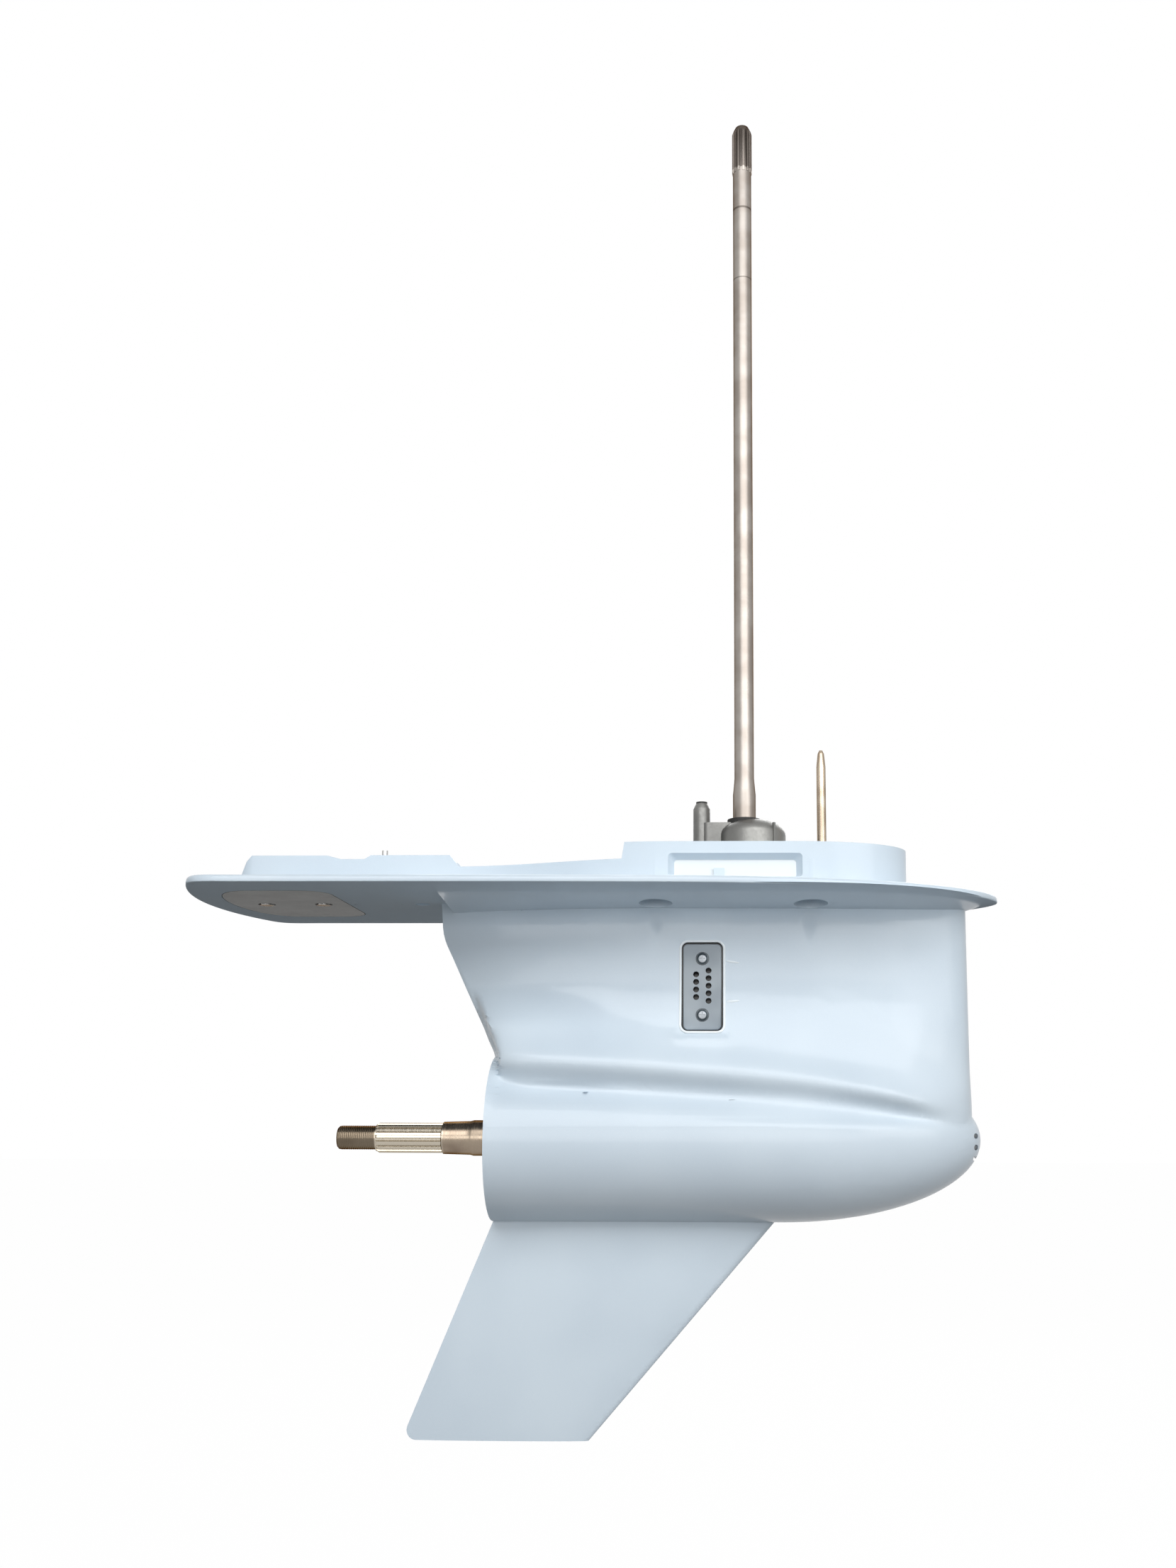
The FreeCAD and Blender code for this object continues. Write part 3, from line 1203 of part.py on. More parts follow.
def ring_nut():
    """Threaded cover nut that holds the carrier in, with lugs for its spanner."""
    x1 = carrier_rear_x - tab_washer_thick
    x0 = x1 - ring_nut_thick
    ring = washer_x(carrier_bore_r - 0.1, ring_nut_inner_r, x0, x1)
    slot = block(x0 - 1.0, x0 + 5.0, -5.0, 5.0, axis_z + ring_nut_inner_r - 2.0, axis_z + ring_nut_inner_r + 4.0)
    return ring.cut(Part.makeCompound([around_x(slot, i * 45.0) for i in range(8)]))


def o_ring():
    mid = carrier_ring_x + 14.0
    return Part.makeTorus(carrier_bore_r - 1.2, 1.2, V(mid, 0, axis_z), V(1, 0, 0))


def pump_flange_wire_box(z0, z1, gap):
    return rounded_box_z(pump_cavity_x[0] + gap, pump_cavity_x[1] - gap, gap - pump_cavity_half,
                         pump_cavity_half - gap, z0, z1, 12.0 - gap)


def pump_bolt_places():
    return [(x, side * pump_bolt_y) for x in pump_bolt_x for side in (-1, 1)]


def pump_base():
    """Stainless wear plate on the well's floor."""
    z1 = pump_floor + pump_base_thick
    sheet = pump_flange_wire_box(pump_floor, z1, 1.0)
    tools = [post(drive_pump_r + 1.5, pump_floor - 1.0, z1 + 1.0)]
    tools += [post(pump_bolt_r + 0.3, pump_floor - 1.0, z1 + 1.0, x, y) for x, y in pump_bolt_places()]
    return sheet.cut(Part.makeCompound(tools))


def pump_gasket():
    """Thin gasket between wear plate and pump housing."""
    z0 = pump_floor + pump_base_thick
    z1 = z0 + pump_gasket_thick
    sheet = pump_flange_wire_box(z0, z1, 1.0)
    tools = [post(pump_r - pump_wall, z0 - 1.0, z1 + 1.0, pump_x)]
    tools += [post(pump_bolt_r + 0.3, z0 - 1.0, z1 + 1.0, x, y) for x, y in pump_bolt_places()]
    return sheet.cut(Part.makeCompound(tools))


def pump_housing():
    """Pump cover: a flange, an off-centre round bowl with a rounded top, and the outlet tube behind it."""
    z0 = pump_floor + pump_base_thick + pump_gasket_thick
    flange = pump_flange_wire_box(z0, z0 + pump_flange_thick, 1.0)
    dome = [(pump_r * math.sin(t), pump_top - pump_dome * (1 - math.cos(t)))
            for t in [math.radians(d) for d in range(90, 19, -10)]]
    bowl = turned_z([(0, z0), (pump_r, z0)] + dome + [(8.0, pump_top), (0, pump_top)], pump_x)
    seam_turn = math.radians(-52.0)
    seam = block(-1.0, 1.0, pump_r - 1.0, pump_r + 1.0, z0, pump_top - 7.0)
    seam.rotate(V(0, 0, 0), V(0, 0, 1), math.degrees(seam_turn) - 90.0)
    seam.translate(V(pump_x, 0, 0))
    tube = turned_z([(0, z0), (tube_outer_r, z0), (tube_outer_r, tube_top - 5.0),
                     (tube_outer_r - 1.6, tube_top - 1.4), (tube_outer_r - 2.4, tube_top), (0, tube_top)], tube_x)
    shoulder = rounded_box_z(tube_x + 1.0, pump_x - 10.0, -9.0, 9.0, z0, 26.0, 5.0)
    solid = joined([flange, bowl, seam, tube, shoulder])
    liner_r = pump_r - pump_wall
    tools = [post(liner_r, z0 - 1.0, impeller_low() + impeller_height + 2.0, pump_x),
             post(drive_pump_r + 1.2, z0, pump_top + 5.0),
             post(15.0, pump_top - 5.0, pump_top + 5.0),
             post(tube_bore_r, z0 + 12.0, tube_top + 1.0, tube_x)]
    tools += [post(pump_bolt_r + 0.3, z0 - 1.0, z0 + 30.0, x, y) for x, y in pump_bolt_places()]
    return solid.cut(Part.makeCompound(tools))


def pump_liner():
    """Thin stainless cup in the pump housing that the impeller wipes."""
    z0 = pump_floor + pump_base_thick + pump_gasket_thick
    top = impeller_low() + impeller_height + 1.9
    outer = post(pump_r - pump_wall - 0.05, z0, top, pump_x)
    inner = post(pump_r - pump_wall - 1.3, z0 - 1.0, top - 1.2, pump_x)
    return outer.cut(inner).cut(post(drive_pump_r + 1.2, z0, top + 1.0))


def impeller():
    """Rubber impeller: a hub with vanes that bend where the liner is nearer."""
    z0 = impeller_low()
    z1 = z0 + impeller_height
    wall = pump_r - pump_wall - 1.3 - face_gap
    hub = post(impeller_hub_r - 1.5, z0, z1)
    room = post(wall - abs(pump_x), z0, z1)
    vanes = []
    for i in range(impeller_vanes):
        turn = 360.0 * i / impeller_vanes
        vane = block(impeller_hub_r - 3.0, wall, -1.8, 1.8, z0, z1)
        vane.rotate(V(0, 0, 0), V(0, 0, 1), turn)
        vanes.append(vane.common(room))
    bore = post(drive_pump_r + 0.02, z0 - 1.0, z1 + 1.0)
    key_way = block(0.0, drive_pump_r + 2.0, -2.0, 2.0, z0 - 1.0, z1 + 1.0)
    return joined([hub] + vanes).cut(bore).cut(key_way)


def impeller_key():
    z0 = impeller_low()
    return block(drive_pump_r - 1.98, drive_pump_r + 1.9, -1.95, 1.95, z0 + 3.1, z0 + impeller_height - 3.1)


def plug(place):
    """Slotted screw plug with its head outward on the port side, and its sealing washer."""
    x, y, up = place
    z = axis_z + up
    seat = y + plug_seal_thick
    solid = turned_y([(0, y - plug_shank_length), (plug_shank_r - 0.02, y - plug_shank_length),
                      (plug_shank_r - 0.02, seat), (plug_head_r, seat),
                      (plug_head_r, seat + plug_head_thick - 1.0),
                      (plug_head_r - 1.0, seat + plug_head_thick), (0, seat + plug_head_thick)], x, z)
    slot = block(x - 10.0, x + 10.0, seat + plug_head_thick - 2.0, seat + 20.0, z - 1.0, z + 1.0)
    ring = cross_bar(plug_head_r - 0.5, y, seat, x, z).cut(cross_bar(plug_shank_r, y - 1.0, seat + 1.0, x, z))
    return solid.cut(slot), ring


def build():
    os.makedirs("parts", exist_ok=True)
    save("gear_housing", housing())

    screen = inlet_screen()
    save("inlet_screen_starboard", screen)
    save("inlet_screen_port", mirrored(screen))
    screws = [inlet_screw(z) for z in inlet_screw_levels()]
    save("inlet_screws", screws + [mirrored(s) for s in screws])
    save("tail_anode", tail_anode())
    save("tail_anode_bolts", [hex_bolt_up(anode_bolt_r - 0.02, anode_head_r, plate_bottom - 0.8,
                                          anode_sink + 0.8, plate_top + anode_boss_height - 4.0, x)
                              for x in anode_bolt_x])
    save("locating_dowel", post(dowel_r - 0.02, -fin_front_drop - dowel_depth, dowel_stand - fin_front_drop,
                                dowel_x, dowel_y()))

    save("pump_base_plate", pump_base())
    save("pump_gasket", pump_gasket())
    save("pump_housing", pump_housing())
    save("pump_liner", pump_liner())
    bolt_seat = pump_floor + pump_base_thick + pump_gasket_thick + pump_flange_thick
    save("pump_bolts", [hex_bolt_down(pump_bolt_r, pump_bolt_head_r, bolt_seat, 4.0, pump_floor, x, y)
                        for x, y in pump_bolt_places()])
    save("pump_outlet_grommet", washer_z(tube_bore_r - 0.05, 3.4, tube_top - 12.0, tube_top + 1.5, tube_x))
    save("pump_shaft_seal", washer_z(14.9, drive_pump_r + run_fit, pump_top - 5.0, pump_top - 0.5))

    save("driveshaft_seal_carrier", seal_carrier())
    save("driveshaft_oil_seals", drive_seals())
    cup, cone = upper_bearing()
    save("upper_bearing_cup", cup)
    save("upper_bearing_cone", cone)
    save("lower_needle_bearing", lower_needles())

    cup, cone = front_bearing()
    save("forward_bearing_cup", cup)
    save("forward_bearing_cone", cone)
    outer, inner = reverse_bearing()
    save("reverse_bearing_outer", outer)
    save("reverse_bearing_inner", inner)

    save("bearing_carrier", bearing_carrier())
    save("carrier_o_ring", o_ring())
    save("carrier_needle_bearing", carrier_needles())
    save("prop_shaft_oil_seals", prop_seals())
    save("carrier_tab_washer", tab_washer())
    save("carrier_ring_nut", ring_nut())

    drain, drain_ring = plug(drain_plug_at)
    vent, vent_ring = plug(vent_plug_at)
    save("drain_plug", drain)
    save("vent_plug", vent)
    save("plug_seals", [drain_ring, vent_ring])

    save("driveshaft", driveshaft())
    save("pinion_gear", pinion())
    save("pinion_nut", pinion_nut())
    save("impeller", impeller())
    save("impeller_key", impeller_key())

    save("forward_gear", crown_gear())
    save("forward_gear_bush", washer_x(gear_bush_r - 0.02, prop_front_r + run_fit, gear_jaw_tip_x + jaw_height,
                                       front_cup_x[1] - 4.0))
    save("reverse_gear", reverse_gear())

    save("prop_shaft", prop_shaft())
    save("clutch_dog", clutch_dog())
    save("clutch_cross_pin", cross_bar(cross_pin_r, 1.8 - dog_r, dog_r - 1.8, 0.0, axis_z))
    save("clutch_pin_ring", washer_x(dog_r - 0.1, dog_r - 1.58, -1.5, 1.5))
    save("cam_follower", follower())

    save("shift_rod", shift_rod())
    save("shift_rod_bush", shift_bush())
    save("shift_rod_seal", washer_z(shift_low_r + 2.45, shift_low_r + run_fit, bush_z[1] - 5.0,
                                       bush_z[1] - 0.5, shift_x))


build()
for name, shape in all_made:
    box = shape.BoundBox
    print(name, len(shape.Solids), shape.isValid(), round(shape.Volume / 1000, 2),
          [round(v, 1) for v in (box.XMin, box.XMax, box.YMin, box.YMax, box.ZMin, box.ZMax)])
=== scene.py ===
# %% [markdown]
# # The lower unit of an outboard motor
# This is the part of an outboard motor that stands in the water: a cast housing with a
# plate across its top, a thin strut below the plate, a round gearcase that carries the
# propeller shaft, and a fin at the bottom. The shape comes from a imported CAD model, which
# is loaded here as a fixed frame. Blender then gives it its finish: paint with a soft
# gloss, machined shafts, moulded plastic and the small surface details of a casting.

import bmesh
import bpy
import json
import math
import numpy as np
from mathutils import Matrix


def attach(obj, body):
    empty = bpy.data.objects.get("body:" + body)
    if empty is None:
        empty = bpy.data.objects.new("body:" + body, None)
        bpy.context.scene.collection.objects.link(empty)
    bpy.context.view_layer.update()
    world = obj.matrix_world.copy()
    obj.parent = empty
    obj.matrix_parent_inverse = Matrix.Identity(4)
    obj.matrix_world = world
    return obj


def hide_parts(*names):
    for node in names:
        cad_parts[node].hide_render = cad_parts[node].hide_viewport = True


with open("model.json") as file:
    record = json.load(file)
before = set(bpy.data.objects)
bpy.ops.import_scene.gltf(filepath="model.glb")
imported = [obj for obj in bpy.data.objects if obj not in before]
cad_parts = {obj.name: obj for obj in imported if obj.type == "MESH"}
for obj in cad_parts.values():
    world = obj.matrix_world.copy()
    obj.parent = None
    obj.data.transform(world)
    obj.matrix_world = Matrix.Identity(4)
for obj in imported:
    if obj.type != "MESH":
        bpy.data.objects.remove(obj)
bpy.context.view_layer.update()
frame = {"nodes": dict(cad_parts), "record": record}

# %% [markdown]
# Two helpers make every new mesh. A grid of points becomes a closed skin: one side of the
# grid runs round a profile and the other runs along a path. Quads join each point to its
# neighbours, and where a direction is closed its last row joins its first. Modifiers could
# sweep a profile too, but a grid worked out with numpy puts each point exactly where its
# formula says, and one helper then serves the thread, the lips and the marks alike.

# %% Make a mesh from a grid of points
def grid_faces(rows, columns, rows_closed):
    """The quads of a grid whose columns close on themselves: cell (i, j) joins points i,
    i+1 and j, j+1, counted modulo the grid's size where the direction is closed."""
    i = np.arange(rows if rows_closed else rows - 1)[:, None]
    j = np.arange(columns)[None, :]
    i2, j2 = (i + 1) % rows, (j + 1) % columns
    quads = np.stack(np.broadcast_arrays(i * columns + j, i2 * columns + j,
                                         i2 * columns + j2, i * columns + j2), -1)
    return quads.reshape(-1, 4)


def skin(name, points, rows_closed=True, body="housing"):
    """A mesh object from points[row, column, xyz] in metres, that rides on a body."""
    rows, columns = points.shape[:2]
    mesh = bpy.data.meshes.new(name)
    mesh.from_pydata(points.reshape(-1, 3), [], grid_faces(rows, columns, rows_closed))
    made = bmesh.new()
    made.from_mesh(mesh)
    bmesh.ops.remove_doubles(made, verts=made.verts, dist=1e-7)
    bmesh.ops.recalc_face_normals(made, faces=made.faces)
    made.to_mesh(mesh)
    made.free()
    mesh.polygons.foreach_set("use_smooth", np.ones(len(mesh.polygons), bool))
    thing = bpy.data.objects.new(name, mesh)
    bpy.context.scene.collection.objects.link(thing)
    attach(thing, body)
    print(name, "has", len(mesh.polygons), "faces")
    return thing


# %% [markdown]
# A CAD node arrives as loose flat triangles. Gloss shows every facet of them, and a
# subdivision would round off the machined edges, so each node is shown as a merged copy,
# which shades smoothly except at its sharp edges. The copy has the same shape as the node
# it stands for, apart from the housing's shoulder.

# %% Smooth copies of the CAD nodes
SHARP_DEGREES, SHOULDER_SHARP_DEGREES = 32.0, 40.0

bodies_of = {node: body for body, nodes in
             frame["record"]["behaviour"]["bodies"].items() for node in nodes}
slot_of = {part["node"]: part["material_slot"] for part in frame["record"]["subparts"]}


def shade_smooth(mesh, sharp_degrees):
    """Shades a mesh smoothly, except at edges that turn by more than an angle."""
    mesh.polygons.foreach_set("use_smooth", np.ones(len(mesh.polygons), bool))
    mesh.set_sharp_from_angle(angle=math.radians(sharp_degrees))


def smooth_copy(node):
    """A copy of a CAD node with its doubled points merged."""
    mesh = frame["nodes"][node].data.copy()
    mesh.name = node + "_skin"
    made = bmesh.new()
    made.from_mesh(mesh)
    bmesh.ops.remove_doubles(made, verts=made.verts, dist=2e-6)
    made.to_mesh(mesh)
    made.free()
    if "custom_normal" in mesh.attributes:
        mesh.attributes.remove(mesh.attributes["custom_normal"])
    shade_smooth(mesh, SHARP_DEGREES)
    thing = bpy.data.objects.new(node + "_skin", mesh)
    bpy.context.scene.collection.objects.link(thing)
    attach(thing, bodies_of[node])
    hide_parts(node)
    return thing


copies = {node: smooth_copy(node) for node in sorted(frame["nodes"])}
print("triangles:", sum(len(c.data.polygons) for c in copies.values()))

# %% [markdown]
# Some details have to lie on the casting, which bulges. A Shrinkwrap modifier could lay
# them on it, but then nothing could be reckoned from the height. So the height of the side
# is read from its triangles: a point (x, z) lies in a triangle if its three weights there
# are all positive, and the same weights give the height.

# %% Read the side of the casting
def points_of(mesh):
    """A mesh's points as rows of x, y, z."""
    co = np.empty(len(mesh.vertices) * 3)
    mesh.vertices.foreach_get("co", co)
    return co.reshape(-1, 3)


def side_height(x, z, side):
    """How far out the casting's surface is at each (x, z), on the side -1 or +1. For
    every point and triangle, barycentric weights say where the point is in the triangle
    seen from the side; the height is the weighted mean of the corners' y, and the
    outermost wins. Where no triangle lies, it is -1. Triangles closer than 1 mm to the
    part's middle plane are left out."""
    mesh = frame["nodes"]["gear_housing"].data
    mesh.calc_loop_triangles()
    corners = np.empty(len(mesh.loop_triangles) * 3, np.int32)
    mesh.loop_triangles.foreach_get("vertices", corners)
    tri = points_of(mesh)[corners.reshape(-1, 3)]
    low, high = tri.min(1), tri.max(1)
    tri = tri[(high[:, 0] >= x.min()) & (low[:, 0] <= x.max()) & (high[:, 2] >= z.min())
              & (low[:, 2] <= z.max()) & (tri[:, :, 1].mean(1) * side > 0.001)]
    a, b, c = tri[:, 0], tri[:, 1], tri[:, 2]
    area = (b[:, 0] - a[:, 0]) * (c[:, 2] - a[:, 2]) - (c[:, 0] - a[:, 0]) * (
        b[:, 2] - a[:, 2])
    good = np.abs(area) > 1e-12
    a, b, c, area = a[good], b[good], c[good], area[good]
    out = np.empty(x.size)
    flat_x, flat_z = x.ravel(), z.ravel()
    for part in np.array_split(np.arange(x.size), max(1, x.size // 200)):
        px, pz = flat_x[part, None], flat_z[part, None]
        wb = ((px - a[:, 0]) * (c[:, 2] - a[:, 2])
              - (c[:, 0] - a[:, 0]) * (pz - a[:, 2])) / area
        wc = ((b[:, 0] - a[:, 0]) * (pz - a[:, 2])
              - (px - a[:, 0]) * (b[:, 2] - a[:, 2])) / area
        y = a[:, 1] + wb * (b[:, 1] - a[:, 1]) + wc * (c[:, 1] - a[:, 1])
        inside = (wb >= -1e-6) & (wc >= -1e-6) & (wb + wc <= 1 + 1e-6)
        out[part] = np.where(inside, y * side, -1.0).max(1)
    return out.reshape(x.shape)


# %% [markdown]
# Above the gearcase the casting swells into a shoulder that runs from the trailing edge to
# the nose, and a groove under the shoulder shows as a dark line. The solid has a milder
# shoulder. It could be sculpted, but a formula gives both sides the same form. So the side
# is read as a height field here, on a square grid, and smoothed a little. Later the copy
# gets more points there, and each point moves across the part only.

# %% Places on the casting
AXIS_Z = -0.246                                  # height of the propeller shaft
INLET_X, INLET_Z, INLET_CORNER = (-0.0525, -0.0205), (-0.156, -0.084), 0.004
TAIL_CORNER_X, TAIL_CORNER_UP, TAIL_SLOPE = -0.261, 0.172, 0.462
TORPEDO_R = 0.069
MID_CHORD_X = -0.090                             # the strut's side is nearly flat here
STEP, FIELD_X, FIELD_UP = 0.004, (-0.252, 0.190), (0.004, 0.152)


def ramp(value, start, end):
    """Goes 0 to 1 softly as the value goes from start to end."""
    t = np.clip((value - start) / (end - start), 0.0, 1.0)
    return t * t * (3.0 - 2.0 * t)


def tail_edge(up):
    """Where the strut's trailing edge is, at a height above the shaft: upright above its
    corner, and leaning forward below it down to the torpedo."""
    return TAIL_CORNER_X + TAIL_SLOPE * (
        TAIL_CORNER_UP - np.clip(up, TORPEDO_R, TAIL_CORNER_UP))


def by_screen(x, up, margin):
    """True in the screens' openings and a margin round them and above them."""
    return ((x > INLET_X[0] - margin) & (x < INLET_X[1] + margin)
            & (up > INLET_Z[0] - AXIS_Z - margin))


# %% Height field of the side
def spread(grid, rounds=2):
    """The mean of each cell and its neighbours, with weights 1, 2, 1 each way."""
    for _ in range(rounds):
        wide = np.pad(grid, 1, mode="edge")
        rows = (wide[:-2] + 2.0 * wide[1:-1] + wide[2:]) / 4.0
        grid = (rows[:, :-2] + 2.0 * rows[:, 1:-1] + rows[:, 2:]) / 4.0
    return grid


field_x, field_up = np.arange(*FIELD_X, STEP), np.arange(*FIELD_UP, STEP)
grid_x, grid_up = np.meshgrid(field_x, field_up, indexing="ij")
side_field = side_height(grid_x, grid_up + AXIS_Z, -1.0)
known = (side_field > 0.0) & ~by_screen(grid_x, grid_up, margin=0.008)
known_share = np.maximum(spread(known * 1.0), 1e-6)
side_field = spread(np.where(known, side_field, 0.0)) / known_share
print("side field", side_field.shape, "widest", round(float(side_field.max()), 4))


def side_at(x, up):
    """The field between its grid points, as the weighted mean of the four around."""
    i = np.clip((x - field_x[0]) / STEP, 0, len(field_x) - 1.001)
    j = np.clip((up - field_up[0]) / STEP, 0, len(field_up) - 1.001)
    i0, j0 = i.astype(int), j.astype(int)
    a, b = i - i0, j - j0
    return ((1 - a) * (1 - b) * side_field[i0, j0] + a * (1 - b) * side_field[i0 + 1, j0]
            + (1 - a) * b * side_field[i0, j0 + 1] + a * b * side_field[i0 + 1, j0 + 1])


# %% [markdown]
# The new form is half the casting's width as a function of two places: how far along the
# part a point is, and how high above the propeller shaft. It is built up in three steps:
# the side as read, a fuller end towards the trailing edge, and a soft S in the height that
# cuts the groove and raises the shoulder over it. Soft ramps let it fade into the rest.

# %% The shoulder's own form
GROOVE_REAR_X, GROOVE_LENGTH, GROOVE_REAR_UP = -0.200, 0.360, 0.056
GROOVE_FALL, GROOVE_NOSE_FALL = 0.026, 0.010
GROOVE_DEPTH, GROOVE_WIDTH, GROOVE_NARROWS_BY = 0.0052, 0.0115, 0.0035
BLUNT_POWER, BLUNT_SOFTNESS = 5, 0.002

# Each pair below says where a soft ramp starts and where it is complete, in metres.
TAIL_LOW, TAIL_HIGH, TAIL_FRONT = (0.036, 0.048), (0.132, 0.090), (-0.095, -0.125)
GROOVE_BOW, GROOVE_NARROWING, GROOVE_STERN = (0.178, 0.120), (0.0, 0.160), (-0.213, -0.203)
NOSE, LOW, HIGH = (0.182, 0.165), (0.010, 0.018), (0.148, 0.136)
OVER_SHOULDER, AHEAD_OF_TAIL = (0.084, 0.096), (-0.110, -0.085)

# These pairs are measured forward from the trailing edge.
EDGE_ROUND, EDGE_BLEND, EDGE_FADE = (0.001, 0.010), (0.0005, 0.006), (0.0, 0.003)


def from_edge(x, edge, pair):
    """A soft ramp that starts and ends at distances from the trailing edge."""
    return ramp(x, edge + pair[0], edge + pair[1])


def groove_line(x):
    """Height above the shaft of the steepest line between groove and shoulder: it falls
    towards the bow, first slowly and then faster at the nose."""
    t = np.clip((x - GROOVE_REAR_X) / GROOVE_LENGTH, 0.0, 1.0)
    return GROOVE_REAR_UP - GROOVE_FALL * t ** 1.2 - GROOVE_NOSE_FALL * t ** 6


def blunt_tail(x, up):
    """The side behind mid-chord: the profile there times a blunt oval,
    (1 - s^5)^(1/5) with s going 0 to 1 to the trailing edge, and never less than the
    solid's own side. The larger of the two is a soft one, the mean of both plus half the
    root of their difference squared and a small length squared."""
    half, edge = side_at(x, up), tail_edge(up)
    middle = side_at(np.full_like(x, MID_CHORD_X), up)
    s = np.clip((MID_CHORD_X - x) / (MID_CHORD_X - edge), 0.0, 1.0)
    oval = (1.0 - s ** BLUNT_POWER) ** (1.0 / BLUNT_POWER)
    blunt = middle * oval * from_edge(x, edge, EDGE_ROUND)
    fuller = 0.5 * (half + blunt + np.sqrt((half - blunt) ** 2 + BLUNT_SOFTNESS ** 2))
    share = (ramp(up, *TAIL_LOW) * ramp(up, *TAIL_HIGH) * ramp(x, *TAIL_FRONT)
             * from_edge(x, edge, EDGE_BLEND))
    return half + share * (fuller - half)


def shoulder_half(x, up):
    """Half the casting's width: the side with its blunt tail, plus an S in the height,
    depth * s * exp(1/2 - s^2/2) with s = distance from the groove line / width. That is
    a groove below the line and a swelling above it."""
    width = GROOVE_WIDTH - GROOVE_NARROWS_BY * ramp(x, *GROOVE_NARROWING)
    depth = GROOVE_DEPTH * ramp(x, *GROOVE_BOW) * ramp(x, *GROOVE_STERN)
    s = (up - groove_line(x)) / width
    return blunt_tail(x, up) + depth * s * np.exp(0.5 - 0.5 * s * s)


def share_of_shoulder(x, up):
    """How far the new form holds, 0 to 1: it fades towards the nose, the torpedo's
    middle, the upper strut, the trailing edge, and above the shoulder ahead of the tail."""
    return (ramp(x, *NOSE) * ramp(up, *LOW) * ramp(up, *HIGH)
            * from_edge(x, tail_edge(up), EDGE_FADE)
            * (1.0 - ramp(up, *OVER_SHOULDER) * ramp(x, *AHEAD_OF_TAIL)))


# %% [markdown]
# The copy's triangles are long on the flat stretches, too long to bend. Their long edges
# are cut in half a few times, only where the form changes, because a Subdivision Surface
# would add points all over the casting. Points count as outer skin if they lie near the
# side and don't face inwards, so the bores and ways inside stay as they are.

# %% Give the housing's copy its shoulder
REFINED_UP, REFINED_BOW_X, REFINED_BEHIND_EDGE = (0.006, 0.150), 0.184, 0.002
DEPTH_OF_SKIN, LONGEST_EDGE = 0.007, 0.0045
LEAST_OUTWARD = -0.5                       # a lower share of the normal means a face inside


def halve_long_edges(mesh):
    """Cuts the long edges near the shoulder in two, and the cut faces into triangles."""
    ends = np.empty(len(mesh.edges) * 2, np.int32)
    mesh.edges.foreach_get("vertices", ends)
    a, b = points_of(mesh)[ends.reshape(-1, 2)].transpose(1, 0, 2)
    x, y, up = ((a + b) / 2.0 - (0.0, 0.0, AXIS_Z)).T
    chosen = ((np.linalg.norm(b - a, axis=1) > LONGEST_EDGE)
              & (up > REFINED_UP[0]) & (up < REFINED_UP[1])
              & (x > tail_edge(up) - REFINED_BEHIND_EDGE) & (x < REFINED_BOW_X)
              & (np.abs(y) > side_at(x, up) - DEPTH_OF_SKIN))
    made = bmesh.new()
    made.from_mesh(mesh)
    made.edges.ensure_lookup_table()
    long_edges = [made.edges[i] for i in np.flatnonzero(chosen)]
    bmesh.ops.subdivide_edges(made, edges=long_edges, cuts=1)
    bmesh.ops.triangulate(made, faces=[f for f in made.faces if len(f.verts) > 3])
    made.to_mesh(mesh)
    made.free()


def shape_shoulder(mesh, rounds=6):
    """Refines the side, then moves the points of its outer skin to the shoulder's form."""
    for _ in range(rounds):
        halve_long_edges(mesh)
    co = points_of(mesh)
    x, y, up = co[:, 0], np.abs(co[:, 1]), co[:, 2] - AXIS_Z
    normals = np.empty(len(co) * 3)
    mesh.vertex_normals.foreach_get("vector", normals)
    outward = normals.reshape(-1, 3)[:, 1] * np.sign(co[:, 1])
    on_skin = (y > side_at(x, up) - DEPTH_OF_SKIN) & (outward > LEAST_OUTWARD)
    free = on_skin & ~by_screen(x, up, margin=0.006)
    share = np.where(free, share_of_shoulder(x, up), 0.0)
    moved = y + share * (shoulder_half(x, up) - y)
    co[:, 1] = np.where(share > 0, np.sign(co[:, 1]) * moved, co[:, 1])
    mesh.vertices.foreach_set("co", co.ravel())
    shade_smooth(mesh, SHOULDER_SHARP_DEGREES)
    mesh.update()
    print("shoulder:", int((share > 0).sum()), "points, moved up to",
          round(float(np.abs(moved - y)[share > 0].max()) * 1000, 1), "mm")


shape_shoulder(copies["gear_housing"].data)

# %% [markdown]
# Materials are written as arithmetic. Nodes could be made and linked one by one, but a
# formula is easier to read. So a small class holds one socket, and adding, subtracting or
# multiplying puts the matching Math node into the tree. A second class holds a material
# with its shader, its place in the part and the noise that most finishes share.

